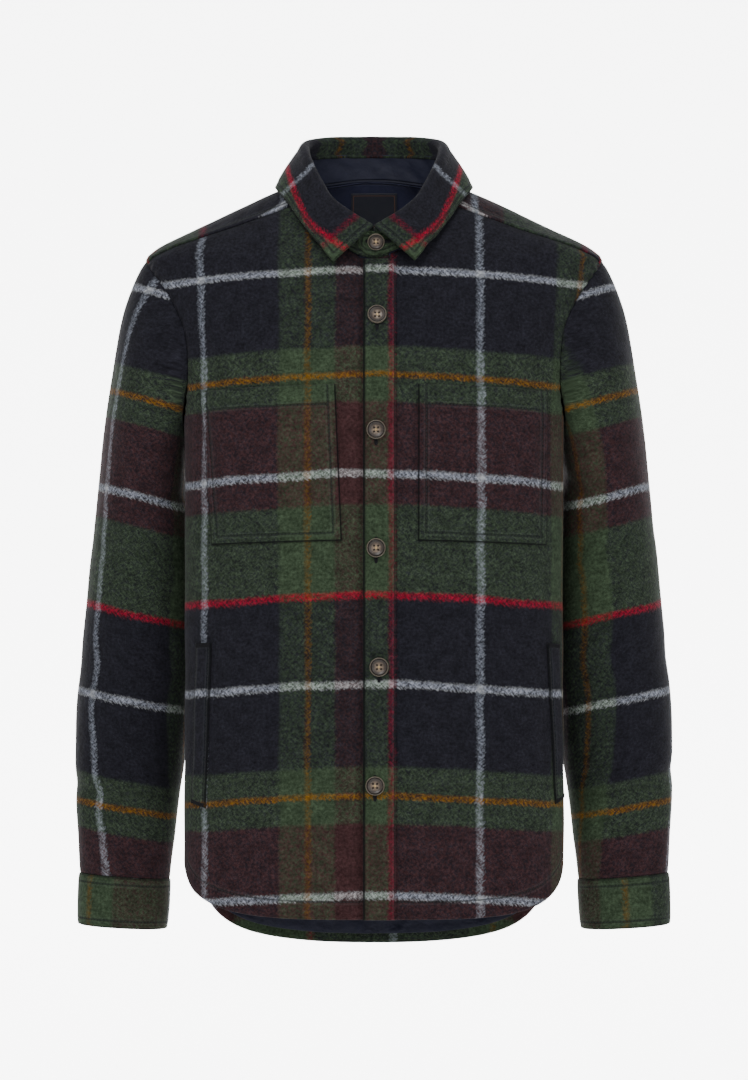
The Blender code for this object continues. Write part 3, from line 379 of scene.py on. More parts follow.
def curve_through(rows, column):
    """A smooth curve through one column of a table that never overshoots its rows."""
    places = np.array([row[0] for row in rows], float)
    values = np.array([row[column] for row in rows], float)
    step = np.diff(places)
    rise = np.diff(values) / step
    slope = np.zeros(len(values))
    for i in range(1, len(values) - 1):
        if rise[i - 1] * rise[i] > 0:
            slope[i] = 2 / (1 / rise[i - 1] + 1 / rise[i])
    slope[0] = rise[0]
    slope[-1] = rise[-1]

    def read(at):
        at = np.clip(at, places[0], places[-1])
        i = np.clip(np.searchsorted(places, at, side="right") - 1, 0, len(step) - 1)
        t = (at - places[i]) / step[i]
        return hermite(values[i], values[i + 1], slope[i] * step[i], slope[i + 1] * step[i], t)

    return read


half_width, widest_y, front_y, back_y = (curve_through(FORM, k) for k in (1, 2, 3, 4))
stand_top_z, fold_top_z = (curve_through(COLLAR_TOP, k) for k in (1, 2))
leaf_turn, leaf_z, leaf_lift = (curve_through(LEAF_EDGE, k) for k in (1, 2, 3))


def unit(vectors):
    """Vectors of length one."""
    return vectors / np.maximum(np.linalg.norm(vectors, axis=-1, keepdims=True), 1e-12)


def smooth_step(value):
    """Eases a value from 0 to 1."""
    value = np.clip(value, 0, 1)
    return value * value * (3 - 2 * value)


def form_point(height, turn):
    """Point of the body form at a height and a turn from the centre front."""
    height = np.asarray(height, float)
    sine = np.sin(turn)
    cosine = np.cos(turn)
    power = np.where(cosine > 0, FRONT_POWER, BACK_POWER)
    reach = np.where(cosine > 0, front_y(height), back_y(height)) - widest_y(height)
    x = half_width(height) * np.sign(sine) * np.abs(sine) ** (2 / power)
    y = widest_y(height) + reach * np.abs(cosine) ** (2 / power)
    return np.stack([x, y, height + 0 * x], axis=-1)


def form_value(points):
    """One on the body form, less inside it and more outside it."""
    x, y, z = points[..., 0], points[..., 1], points[..., 2]
    front = y < widest_y(z)
    power = np.where(front, FRONT_POWER, BACK_POWER)
    reach = np.abs(np.where(front, front_y(z), back_y(z)) - widest_y(z))
    across = np.abs(x) / half_width(z)
    along = np.abs(y - widest_y(z)) / reach
    return across**power + along**power


def form_normal(points):
    """Outward normal of the body form."""
    steps = NORMAL_STEP * np.eye(3)
    slope = [form_value(points + step) - form_value(points - step) for step in steps]
    return unit(np.stack(slope, axis=-1))


def body_fold(points):
    """How far the soft folds move the cloth out, from the place alone."""
    total = np.zeros(points.shape[:-1])
    for face, x, height, lean, half_length, half, depth in BODY_FOLDS:
        facing = -1 if face == "front" else 1
        seen = np.clip(facing * (points[..., 1] - widest_y(points[..., 2])) / 0.02, 0, 1)
        lean = math.radians(lean)
        over = points[..., 0] - x
        up = points[..., 2] - height
        along = up * math.cos(lean) + over * math.sin(lean)
        across = over * math.cos(lean) - up * math.sin(lean)
        total += depth * seen * np.exp(-((along / half_length) ** 2) - (across / half) ** 2)
    return total


def ripple(points, size=0.0006):
    """Slight unevenness of thick cloth, the same wherever pieces meet."""
    x, y, z = points[..., 0], points[..., 1], points[..., 2]
    total = np.sin(41 * x + 23 * z + 1.1 * np.sin(57 * z)) + np.sin(67 * z - 31 * x + 19 * y)
    total = total + 0.6 * np.sin(97 * x + 71 * y) * np.sin(83 * z + 40 * x)
    return size * total / 2.6


def surface(height, turn):
    """Outer face of the cloth and the normal of the form under it."""
    points = form_point(height, turn)
    normals = form_normal(points)
    lift = body_fold(points) + ripple(points)
    return points + normals * lift[..., None], normals


def turn_at(x, height):
    """Turn from the centre front of the front's point at this x."""
    share = np.abs(x) / half_width(height)
    return np.sign(x) * np.arcsin(np.clip(share, 0, 1) ** (FRONT_POWER / 2))


def plan_half_width(height):
    """Half width for the yoke's plan, which keeps growing below the shoulder tip."""
    below = np.maximum(SHOULDER_Z - height, 0)
    return half_width(np.maximum(height, SHOULDER_Z)) + PLAN_GROWTH * below


def plan_of(height, turn):
    """Place in the yoke's plan of a point of the form."""
    sine = np.sin(turn)
    power = np.where(np.cos(turn) > 0, FRONT_POWER, BACK_POWER)
    x = plan_half_width(height) * np.sign(sine) * np.abs(sine) ** (2 / power)
    return x, form_point(height, turn)[..., 1]


def from_plan(x, y):
    """Height and turn of the form's point over a place in the yoke's plan."""
    low = np.full(np.shape(x), PLAN_LOWEST_Z)
    high = np.full(np.shape(x), FORM[-1][0])
    for _ in range(PLAN_HALVINGS):
        height = (low + high) / 2
        front = y < widest_y(height)
        power = np.where(front, FRONT_POWER, BACK_POWER)
        reach = np.where(front, front_y(height), back_y(height)) - widest_y(height)
        across = (np.abs(x) / plan_half_width(height)) ** power
        along = np.abs((y - widest_y(height)) / reach) ** power
        outside = across + along > 1
        high = np.where(outside, height, high)
        low = np.where(outside, low, height)
    turn = np.arctan2(np.sqrt(across), np.sqrt(along))
    return height, np.copysign(np.where(front, turn, math.pi - turn), x)


def plan_ring(turn, half, front, back):
    """Place in plan on an oval ring, and the way out of it."""
    sine = np.sin(turn)
    cosine = np.cos(turn)
    reach = np.where(cosine > 0, front, back)
    x = half * sine
    y = -reach * cosine
    out = unit(np.stack([x / half**2, y / reach**2, 0 * x], axis=-1))
    return x, y, out


def neck(turn):
    """Height and turn on the form of the neck seam's point."""
    x, y, _ = plan_ring(turn, NECK_HALF_WIDTH, NECK_FRONT, NECK_BACK)
    return from_plan(x, y)


def armhole(angle):
    """Height and turn on the form of the left armhole, by the angle from its tip."""
    drop = (1 - np.cos(angle)) / 2
    height = SHOULDER_Z + (UNDERARM_Z - SHOULDER_Z) * drop
    middle = SHOULDER_TURN + (SIDE_TURN - SHOULDER_TURN) * drop
    spread = np.where(np.sin(angle) > 0, ARMHOLE_FRONT_SPREAD, ARMHOLE_BACK_SPREAD)
    return height, middle - spread * np.sin(angle)


FRONT_ARM = np.linspace(YOKE_FRONT_ANGLE, math.pi, FRONT_ARM_CELLS + 1)
BACK_ARM = np.linspace(YOKE_BACK_ANGLE, -math.pi, BACK_ARM_CELLS + 1)


def lengths_along(points):
    """Distance from the start of a line of points, as a share of its length."""
    steps = np.linalg.norm(np.diff(points, axis=0), axis=1)
    run = np.concatenate([[0], np.cumsum(steps)])
    return run / run[-1], run[-1]


def front_seam_line(side):
    """Height and turn along a front's yoke seam, from the neck to the armhole."""
    share = np.linspace(0, 1, LINE_POINTS)
    neck_height, neck_turn = neck(np.array([math.radians(LEFT_NECK[0]) * side]))
    arm_height, arm_turn = armhole(YOKE_FRONT_ANGLE)
    bow = FRONT_SEAM_BOW * np.sin(math.pi * share)
    height = neck_height[0] + (arm_height - neck_height[0]) * share - bow
    turn = abs(neck_turn[0]) + (arm_turn - abs(neck_turn[0])) * share
    return height, turn * side


def front_starts(side):
    """Height and turn of each front row's start, on the neck and then on the front edge."""
    edge_x = LEFT_EDGE_X if side > 0 else RIGHT_EDGE_X
    stations = LEFT_NECK if side > 0 else RIGHT_NECK
    corner = math.degrees(math.asin(edge_x / NECK_HALF_WIDTH)) * side
    heights, form_turns = neck(np.radians(stations + [corner]) * side)
    starts = list(zip(heights, form_turns))
    for centre, _, _ in FRONT_ROWS:
        starts.append((centre, float(turn_at(edge_x, centre))))
    return starts


def front_columns(side, height, turn):
    """Shares of a row's length at which the front's columns stand."""
    points = form_point(height, turn)
    share, length = lengths_along(points)
    across = points[:, 0] * side
    marks = []
    for line in POCKET_EDGES[SIDE_NAMES[side]]:
        wanted = np.interp(-points[:, 2], [-z for z, _ in line], [x for _, x in line])
        marks.append(float(np.interp(0, across - wanted, share)))
    welt = marks[1] + WELT_WIDTH / length
    inner = np.linspace(0, marks[0], INNER_CELLS + 1)[:-1]
    pocket = np.linspace(marks[0], marks[1], POCKET_CELLS + 1)
    return np.concatenate([inner, pocket, np.linspace(welt, 1, OUTER_CELLS + 1)])


def front_grid(side):
    """Heights and turns of a front's points, a row from the front edge to the side."""
    starts = front_starts(side)
    powers = [1.0] * (NECK_ROWS + 1) + [row[2] for row in FRONT_ROWS]
    ends = [armhole(angle) for angle in FRONT_ARM]
    ends += [(row[1], SIDE_TURN) for row in FRONT_ROWS if row[1] is not None]
    lines = [front_seam_line(side)]
    share = np.linspace(0, 1, LINE_POINTS)
    for start, end, power in list(zip(starts, ends, powers))[1:]:
        height = start[0] + (end[0] - start[0]) * share**power
        turn = start[1] + (end[1] * side - start[1]) * share
        if side < 0 and len(lines) == NECK_ROWS:
            height = height - CORNER_DIP * np.sin(math.pi * share**CORNER_POWER)
        lines.append((height, turn))
    columns = [front_columns(side, *line) for line in lines]
    heights = []
    turns = []
    for i, (height, turn) in enumerate(lines):
        at = columns[min(max(i, POCKET_TOP_ROW), WELT_BOTTOM_ROW)]
        along, _ = lengths_along(form_point(height, turn))
        heights.append(np.interp(at, along, height))
        turns.append(np.interp(at, along, turn))
    return np.array(heights), np.array(turns)


def back_grid():
    """Heights and turns of the back's points, a row from the right side to the left."""
    ends = [armhole(angle) for angle in BACK_ARM]
    ends += [(row[1], SIDE_TURN) for row in BACK_ROWS if row[1] is not None]
    even = np.linspace(0, 1, BACK_CELLS + 1)
    place = np.linspace(-1, 1, BACK_LINE_POINTS)
    curved = (1 - TAIL_ROUND) * place**2 + TAIL_ROUND * place**6
    heights = []
    turns = []
    for (centre, _, tail), (end_height, end_turn) in zip(BACK_ROWS, ends):
        height = centre + (end_height - centre) * (place**2 * (1 - tail) + curved * tail)
        turn = math.pi + (math.pi - end_turn) * -place
        along, _ = lengths_along(form_point(height, turn))
        heights.append(np.interp(even, along, height))
        turns.append(np.interp(even, along, turn))
    return np.array(heights), np.array(turns)


def finer(grid, rows, columns):
    """A grid with each cell parted into rows by columns, along smooth curves."""
    for parts in (rows, columns):
        count = len(grid)
        at = np.linspace(0, count - 1, (count - 1) * parts + 1)
        i = np.clip(at.astype(int), 0, count - 2)
        t = (at - i).reshape(-1, *[1] * (grid.ndim - 1))
        start = grid[i]
        end = grid[i + 1]
        before = np.where((i == 0).reshape(t.shape), 2 * start - end, grid[np.maximum(i - 1, 0)])
        after = grid[np.minimum(i + 2, count - 1)]
        after = np.where((i == count - 2).reshape(t.shape), 2 * end - start, after)
        new = hermite(start, end, (end - before) / 2, (after - start) / 2, t)
        grid = np.swapaxes(new, 0, 1)
    return grid


def finer_line(rows, parts):
    """A line of places or values with each step parted, along a smooth curve."""
    line = np.array(rows)[:, None]
    return finer(np.concatenate([line, line], axis=1), parts, 1)[:, 0]


def finer_pair(coarse, parts):
    """Heights and turns of a finer grid."""
    return finer(coarse[0], *parts), finer(coarse[1], *parts)


def grid_normals(points, like):
    """Normals of a grid of points, on the side of some rough normals."""
    across = np.gradient(points, axis=1)
    down = np.gradient(points, axis=0)
    normals = unit(np.cross(across, down))
    return normals * np.sign(np.sum(normals * like))


def run(points, axis, from_end=False):
    """Distance of each point of a grid from its first line, or from its last."""
    steps = np.linalg.norm(np.diff(points, axis=axis), axis=-1)
    start = np.zeros_like(np.take(steps, [0], axis=axis))
    total = np.concatenate([start, np.cumsum(steps, axis=axis)], axis=axis)
    if from_end:
        total = np.take(total, [-1], axis=axis) - total
    return total


def seam_field(points, edges):
    """Place along, and distance from, the nearest of some edges of a grid."""
    field = np.full(points.shape[:2] + (2,), FAR)
    down = run(points, 0)
    across = run(points, 1)
    for edge in edges:
        axis = 0 if edge in ("first_row", "last_row") else 1
        distance = run(points, axis, edge.startswith("last"))
        along = across if axis == 0 else down
        nearer = distance < field[..., 1]
        field[..., 0] = np.where(nearer, along, field[..., 0])
        field[..., 1] = np.where(nearer, distance, field[..., 1])
    return field


# Meshes

# Where the points of a shell's round edge lie, from its outer face to its inner one
RIM_ANGLES = [math.radians(angle) for angle in (45, 90, 135)]


def boundary_of(rows, columns):
    """Indices around the edge of a grid, in order."""
    top = [(0, j) for j in range(columns - 1)]
    right = [(i, columns - 1) for i in range(rows - 1)]
    bottom = [(rows - 1, j) for j in range(columns - 1, 0, -1)]
    left = [(i, 0) for i in range(rows - 1, 0, -1)]
    return np.array(top + right + bottom + left)


def new_object(name, vertices, faces, uvs, material):
    """Adds a smooth mesh with UV maps that hold a value for each vertex."""
    mesh = bpy.data.meshes.new(name)
    mesh.from_pydata(vertices.tolist(), [], faces)
    corner = np.empty(len(mesh.loops), dtype=np.int32)
    mesh.loops.foreach_get("vertex_index", corner)
    for label, values in uvs.items():
        layer = mesh.uv_layers.new(name=label)
        layer.data.foreach_set("uv", values[corner].astype(np.float32).ravel())
    mesh.shade_smooth()
    mesh.materials.append(material)
    piece = bpy.data.objects.new(name, mesh)
    bpy.context.scene.collection.objects.link(piece)
    return piece


def way_out(middle, ring):
    """Way out of a grid along its own surface, at each point of its edge."""
    out = np.zeros((len(ring), 3))
    for axis in (0, 1):
        at = ring[:, axis]
        last = middle.shape[axis] - 1
        inward = np.where(at == 0, 1, np.where(at == last, -1, 0))
        beside = ring.copy()
        beside[:, axis] += inward
        step = middle[ring[:, 0], ring[:, 1]] - middle[beside[:, 0], beside[:, 1]]
        out += unit(step) * (inward != 0)[:, None]
    return out


def shell_faces(rows, columns, flat, flipped):
    """Faces of a shell: its two sides and the strips of its round edge."""
    count = rows * columns
    grid = np.arange(count).reshape(rows, columns)
    order = [grid[:-1, :-1], grid[:-1, 1:], grid[1:, 1:], grid[1:, :-1]]
    order = [corner.ravel() for corner in (order[:1] + order[:0:-1] if flipped else order)]
    faces = [np.stack(order, axis=1), np.stack(order[::-1], axis=1) + count]
    strips = [flat]
    for k in range(len(RIM_ANGLES)):
        strips.append(2 * count + k * len(flat) + np.arange(len(flat)))
    strips.append(flat + count)
    for here, after in zip(strips, strips[1:]):
        quads = [here, np.roll(here, -1), np.roll(after, -1), after]
        faces.append(np.stack(quads if flipped else quads[::-1], axis=1))
    return np.concatenate(faces)


def shell(name, outer, normals, cloth, wall, material, field=None):
    """A cloth shell with round edges, from its outer face."""
    rows, columns = outer.shape[:2]
    middle = outer - wall / 2 * normals
    ring = boundary_of(rows, columns)
    i, j = ring[:, 0], ring[:, 1]
    edge_normals = normals[i, j]
    out = way_out(middle, ring)
    out = unit(out - edge_normals * np.sum(out * edge_normals, axis=-1, keepdims=True))
    middle[i, j] -= wall / 2 * out
    sides = [(middle + sign * wall / 2 * normals).reshape(-1, 3) for sign in (1, -1)]
    rim = []
    for angle in RIM_ANGLES:
        bend = math.cos(angle) * edge_normals + math.sin(angle) * out
        rim.append(middle[i, j] + wall / 2 * bend)
    vertices = np.concatenate(sides + rim)
    row, column = rows // 2, columns // 2
    corner = sides[0].reshape(rows, columns, 3)[row : row + 2, column : column + 2]
    facing = np.cross(corner[0, 1] - corner[0, 0], corner[1, 0] - corner[0, 0])
    flat = i * columns + j
    faces = shell_faces(rows, columns, flat, np.dot(facing, normals[row, column]) < 0)
    uvs = {}
    for label, values in (("cloth", cloth), ("seam", field)):
        values = np.full((rows * columns, 2), FAR) if values is None else values.reshape(-1, 2)
        uvs[label] = np.concatenate([values, values] + [values[flat]] * len(RIM_ANGLES))
    return new_object(name, vertices, faces.tolist(), uvs, material)


# Materials

# Nap of the brushed cloth in waves a metre: strokes on two slants, then ever slower ones
STROKES = ((430, 130, 1), (150, 400, 1))
FLECKS = 1100
FUZZ = 330
PATCHES = 75
DRIFT = 18
# How far the strokes draw out the edges of the warp's and the weft's stripes, and their sway
FRINGES = (0.0110, 0.0095)
SWAY = 0.0040
# How much of the weft shows: its swing with the nap, and its least and most
SHARE_SWING = 2.6
SHARE_LIMITS = (0.10, 0.92)
# Blue of a linear colour at which a yarn starts to take a cast, and at which it has all of it
PALE_YARN = (0.10, 0.45)
PALE_HAIR = (130, 136, 140)
# Topstitching: where its groove and its raised sides fade, and the stitches along it
GROOVE = (0.0002, 0.0014)
RIDGE_OFFSET = 0.0022
RIDGE = (0.0001, 0.0013)
STITCH_LENGTH = 0.0017
STITCH_GAP = (0.0003, 0.0007)
# Distance from the edge at which the painted shade along turned edges starts to fade
EDGE_SHADE_STARTS = 0.0002
# Colour of the painted highlight on the raised sides of the topstitching
RIDGE_PAINTED_HIGHLIGHT = (120, 130, 126)
# Colour of the painted shade in the topstitching's groove
GROOVE_PAINTED_SHADE = (10, 11, 14)
STITCH = (60, 66, 64)
# Colour of the painted shade along a piece's turned edges
EDGE_PAINTED_SHADE = (8, 9, 11)
# Other materials, in waves a metre
LINING_WEAVE = 1800
LINING_CREASES = 60
HORN_STREAKS = (90, 90, 420)
HORN_CLOUDS = 150
THREAD_TWIST = 2600
LABEL_RIBS = (600, 3000, 1)
# A button's ring groove, darkened with painted shade, and its pale rim, by share of its radius
RING_SHARE = 0.83
RIM_SHARES = (0.88, 0.94)
# Distance of the label's line from its edge
LABEL_LINE = 0.0026


def linear(colour):
    """Linear colour of an 8-bit one."""
    share = np.array(colour) / 255
    value = np.where(share > 0.04045, ((share + 0.055) / 1.055) ** 2.4, share / 12.92)
    return (*[float(v) for v in value], 1.0)


class Nodes:
    """Short names for the nodes of one material."""

    def __init__(self, name):
        self.material = bpy.data.materials.new(name)
        self.material.use_nodes = True
        self.tree = self.material.node_tree
        self.shader = self.tree.nodes["Principled BSDF"]

    def put(self, socket, value):
        """Links a socket to an input, or sets the input's value."""
        if isinstance(value, bpy.types.NodeSocket):
            self.tree.links.new(value, socket)
        else:
            socket.default_value = value

    def math(self, operation, a, b=0.0, c=0.0):
        """Result of a math node."""
        node = self.tree.nodes.new("ShaderNodeMath")
        node.operation = operation
        for socket, value in zip(node.inputs, (a, b, c)):
            self.put(socket, value)
        return node.outputs[0]

    def times(self, a, b):
        """One value times another."""
        return self.math("MULTIPLY", a, b)

    def blend(self, value, factor, more):
        """A value times a factor, and more added."""
        return self.math("MULTIPLY_ADD", value, factor, more)

    def centred(self, noise, size, middle=0.0):
        """Noise spread evenly to both sides of a value."""
        return self.blend(noise, size, middle - size / 2)

    def away(self, a, b):
        """How far a value is from another."""
        return self.math("ABSOLUTE", self.math("SUBTRACT", a, b))

    def ease(self, value, low, high):
        """Smooth rise from 0 to 1 between two values."""
        node = self.tree.nodes.new("ShaderNodeMapRange")
        node.interpolation_type = "SMOOTHSTEP"
        self.put(node.inputs["Value"], value)
        node.inputs["From Min"].default_value = low
        node.inputs["From Max"].default_value = high
        return node.outputs["Result"]

    def fade(self, value, low, high):
        """Smooth fall from 1 to 0 between two values."""
        return self.math("SUBTRACT", 1.0, self.ease(value, low, high))

    def mix(self, share, a, b, blend="MIX"):
        """Mix of two colours."""
        node = self.tree.nodes.new("ShaderNodeMix")
        node.data_type = "RGBA"
        node.blend_type = blend
        self.put(node.inputs["Factor"], share)
        self.put(node.inputs[6], a)
        self.put(node.inputs[7], b)
        return node.outputs[2]

    def shade(self, colour, value):
        """A colour made darker or lighter by a value."""
        return self.mix(1.0, colour, value, "MULTIPLY")

    def tint(self, colour, share, strength, tone):
        """A colour mixed with some of an 8-bit one."""
        return self.mix(self.times(share, strength), colour, linear(tone))

    def place(self):
        """Place in the object's own space."""
        return self.tree.nodes.new("ShaderNodeTexCoord").outputs["Object"]

    def uv(self, name):
        """The vector of a UV map."""
        node = self.tree.nodes.new("ShaderNodeUVMap")
        node.uv_map = name
        return node.outputs[0]

    def parts(self, vector):
        """The numbers of a vector."""
        node = self.tree.nodes.new("ShaderNodeSeparateXYZ")
        self.put(node.inputs[0], vector)
        return node.outputs

    def scaled(self, vector, scale):
        """A vector times three numbers."""
        node = self.tree.nodes.new("ShaderNodeVectorMath")
        node.operation = "MULTIPLY"
        self.put(node.inputs[0], vector)
        node.inputs[1].default_value = scale
        return node.outputs[0]

    def noise(self, vector, scale, detail=2.0, rough=0.5):
        """Noise by its places a metre."""
        node = self.tree.nodes.new("ShaderNodeTexNoise")
        self.put(node.inputs["Vector"], vector)
        node.inputs["Scale"].default_value = scale
        node.inputs["Detail"].default_value = detail
        node.inputs["Roughness"].default_value = rough
        return node.outputs["Fac"]

    def bump(self, height, strength=1.0):
        """Normal from a height in metres."""
        node = self.tree.nodes.new("ShaderNodeBump")
        node.inputs["Strength"].default_value = strength
        node.inputs["Distance"].default_value = 1.0
        self.put(node.inputs["Height"], height)
        self.put(self.shader.inputs["Normal"], node.outputs[0])

    def set(self, **values):
        """Sets inputs of the shader."""
        for name, value in values.items():
            self.put(self.shader.inputs[name.replace("_", " ")], value)


def stripes(nodes, place, colours):
    """One of the tartan's stripes' colours, at a place across them."""
    wrapped = nodes.math("FLOORED_MODULO", place, SETT_REPEAT)
    node = nodes.tree.nodes.new("ShaderNodeValToRGB")
    nodes.put(node.inputs[0], nodes.math("DIVIDE", wrapped, SETT_REPEAT))
    ramp = node.color_ramp
    ramp.elements[0].color = (*colours[SETT[0][1]], 1)
    ramp.elements[1].color = (*colours[SETT[-1][1]], 1)
    for (edge, before), (_, after) in zip(SETT, SETT[1:]):
        for shift, yarn in ((-STRIPE_SOFT, before), (STRIPE_SOFT, after)):
            stop = ramp.elements.new((edge + shift) / SETT_REPEAT)
            stop.color = (*colours[yarn], 1)
    return node.outputs[0]


def cast_on(nodes, yarn, crossing):
    """A yarn's colour with the cast of the yarn that it crosses, if it is a pale one."""
    parts = nodes.tree.nodes.new("ShaderNodeSeparateColor")
    nodes.put(parts.inputs[0], yarn)
    pale = nodes.ease(parts.outputs[2], *PALE_YARN)
    return nodes.mix(pale, yarn, nodes.shade(yarn, crossing))


def stitching(nodes, lines):
    """Groove, thread and raised sides of the topstitching at some distances from the edges."""
    along, distance, _ = nodes.parts(nodes.uv("seam"))
    groove = 0.0
    ridge = 0.0
    for line in lines:
        off = nodes.away(distance, line)
        groove = nodes.math("MAXIMUM", groove, nodes.fade(off, *GROOVE))
        beside = nodes.away(off, RIDGE_OFFSET)
        ridge = nodes.math("MAXIMUM", ridge, nodes.fade(beside, *RIDGE))
    beat = nodes.math("PINGPONG", along, STITCH_LENGTH)
    thread = nodes.times(nodes.ease(beat, *STITCH_GAP), nodes.ease(groove, 0.55, 0.9))
    return groove, thread, ridge


def tartan(name, lines=(), edge=0.0, reach=0.0013):
    """Brushed wool tartan, with topstitching at some distances from the edges.

    Edge is how strongly painted shade darkens the cloth along its turned edges, and reach is how far
    from them that painted shade fades out.
    """
    nodes = Nodes(name)
    cloth = nodes.uv("cloth")
    u, v, _ = nodes.parts(cloth)
    slant = nodes.tree.nodes.new("ShaderNodeCombineXYZ")
    nodes.put(slant.inputs[0], nodes.math("ADD", u, v))
    nodes.put(slant.inputs[1], nodes.math("SUBTRACT", u, v))
    strokes, strokes_back = (
        nodes.noise(nodes.scaled(slant.outputs[0], scale), 1.0, 3.0, 0.6) for scale in STROKES
    )
    fuzz = nodes.noise(cloth, FUZZ, 4.0, 0.6)
    flecks = nodes.noise(cloth, FLECKS, 3.0, 0.7)
    patches = nodes.noise(cloth, PATCHES, 3.0, 0.6)
    sway = nodes.centred(nodes.noise(cloth, DRIFT, 1.0), SWAY)

    at_u = nodes.math("ADD", nodes.math("ADD", u, sway), nodes.centred(strokes, FRINGES[0]))
    at_v = nodes.math("SUBTRACT", v, sway)
    at_v = nodes.math("ADD", at_v, nodes.centred(strokes_back, FRINGES[1]))
    warp_yarn = {yarn: linear(colour)[:3] for yarn, colour in WARP_YARN.items()}
    weft_yarn = {yarn: linear(colour)[:3] for yarn, colour in WEFT_YARN.items()}
    warp = cast_on(nodes, stripes(nodes, at_u, warp_yarn), stripes(nodes, at_v, CAST))
    weft = cast_on(nodes, stripes(nodes, at_v, weft_yarn), stripes(nodes, at_u, CAST))
    lie = nodes.math("SUBTRACT", nodes.math("ADD", strokes, flecks), strokes_back)
    share = nodes.centred(lie, SHARE_SWING, WEFT_SHARE)
    share = nodes.math("MINIMUM", nodes.math("MAXIMUM", share, SHARE_LIMITS[0]), SHARE_LIMITS[1])
    shade = nodes.times(nodes.blend(fuzz, 2.4, -0.20), nodes.blend(patches, 1.3, 0.35))
    shade = nodes.times(shade, nodes.blend(flecks, 0.9, 0.55))
    colour = nodes.shade(nodes.mix(share, warp, weft), shade)
    colour = nodes.tint(colour, nodes.ease(flecks, 0.58, 0.76), 0.05, PALE_HAIR)
    height = nodes.blend(fuzz, 0.00070, nodes.times(flecks, 0.00030))
    height = nodes.blend(patches, 0.0012, height)
    if lines:
        groove, thread, ridge = stitching(nodes, lines)
        height = nodes.blend(thread, 0.0004, nodes.blend(groove, -0.0011, height))
        # Painted highlight on the raised sides of the topstitching
        colour = nodes.tint(colour, ridge, 0.03, RIDGE_PAINTED_HIGHLIGHT)
        # Painted shade in the topstitching's groove; the thread below keeps its own colour
        colour = nodes.tint(colour, groove, 0.60, GROOVE_PAINTED_SHADE)
        colour = nodes.tint(colour, thread, 0.22, STITCH)
    # Painted shade along the turned edges, strongest at the edge
    if edge:
        _, distance, _ = nodes.parts(nodes.uv("seam"))
        colour = nodes.tint(colour, nodes.fade(distance, EDGE_SHADE_STARTS, reach), edge, EDGE_PAINTED_SHADE)
    nodes.bump(height, 0.8)
    nodes.set(Base_Color=colour, Roughness=0.95, Specular_IOR_Level=0.06)
    nodes.set(Sheen_Weight=0.03, Sheen_Roughness=0.5)
    return nodes.material


def smooth_cloth(name, colour, lines=(), creased=0.0020):
    """Fine plain-woven lining."""
    nodes = Nodes(name)
    cloth = nodes.uv("cloth")
    fine = nodes.noise(cloth, LINING_WEAVE, 2.0)
    soft = nodes.noise(cloth, LINING_CREASES, 3.0)
    shade = nodes.times(nodes.blend(soft, 0.5, 0.75), nodes.blend(fine, 0.3, 0.85))
    base = nodes.shade(linear(colour), shade)
    height = nodes.blend(soft, creased, nodes.times(fine, 0.00008))
    if lines:
        groove, _, _ = stitching(nodes, lines)
        height = nodes.blend(groove, -0.0006, height)
        # Painted shade in the stitching's groove
        base = nodes.tint(base, groove, 0.5, (6, 7, 12))
    nodes.bump(height, 0.9)
    nodes.set(Base_Color=base, Roughness=0.62, Specular_IOR_Level=0.18, Sheen_Weight=0.02)
    return nodes.material


def horn(name):
    """Polished horn-like resin with pale streaks, painted shade in its ring groove and its holes, and
    a pale rim.
    """
    nodes = Nodes(name)
    place = nodes.place()
    streak = nodes.noise(nodes.scaled(place, HORN_STREAKS), 1.0, 3.0, 0.6)
    cloud = nodes.noise(place, HORN_CLOUDS, 2.0)
    share, depth, _ = nodes.parts(nodes.uv("seam"))
    colour = nodes.mix(nodes.ease(share, 0.12, 0.68), linear((116, 100, 84)), linear((44, 37, 33)))
    mottle = nodes.blend(nodes.blend(streak, 1.6, nodes.times(cloud, 0.5)), 1.0, -0.05)
    colour = nodes.shade(colour, mottle)
    # Painted shade in the groove round the button's face
    ring = nodes.fade(nodes.away(share, RING_SHARE), 0.02, 0.06)
    colour = nodes.tint(colour, ring, 0.8, (10, 8, 7))
    colour = nodes.tint(colour, nodes.ease(share, *RIM_SHARES), 0.8, (96, 88, 76))
    # Painted shade in the button's holes
    colour = nodes.tint(colour, nodes.ease(depth, 0.2, 0.8), 1.0, (5, 4, 4))
    nodes.bump(nodes.times(streak, 0.00006))
    nodes.set(Base_Color=colour, Roughness=0.42, Specular_IOR_Level=0.30)
    nodes.set(Coat_Weight=0.12, Coat_Roughness=0.2)
    return nodes.material


def thread(name, colour, shade):
    """Spun thread, darker where it twists."""
    nodes = Nodes(name)
    twist = nodes.noise(nodes.place(), THREAD_TWIST, 2.0)
    nodes.bump(nodes.times(twist, 0.0002))
    base = nodes.tint(linear(colour), twist, 0.5, shade)
    nodes.set(Base_Color=base, Roughness=0.8, Specular_IOR_Level=0.15)
    return nodes.material


def woven_label(name):
    """Bare woven label with one thin line near its edge."""
    nodes = Nodes(name)
    ribs = nodes.noise(nodes.scaled(nodes.uv("cloth"), LABEL_RIBS), 1.0, 1.0)
    _, distance, _ = nodes.parts(nodes.uv("seam"))
    line = nodes.fade(nodes.away(distance, LABEL_LINE), 0.0003, 0.0006)
    base = nodes.tint(linear((15, 17, 28)), ribs, 0.5, (28, 31, 47))
    base = nodes.tint(base, line, 0.5, (96, 62, 40))
    nodes.bump(nodes.times(ribs, 0.0002))
    nodes.set(Base_Color=base, Roughness=0.6)
    return nodes.material


# Cloth coordinates

# Tables of lengths on the form: the heights that they cover, and their rows and columns
ARC_SPAN = (-0.80, 0.034)
ARC_ROWS = 90
ARC_COLUMNS = 361
DEPTH_SPAN = (-0.82, 0.036)
DEPTH_ROWS = 400


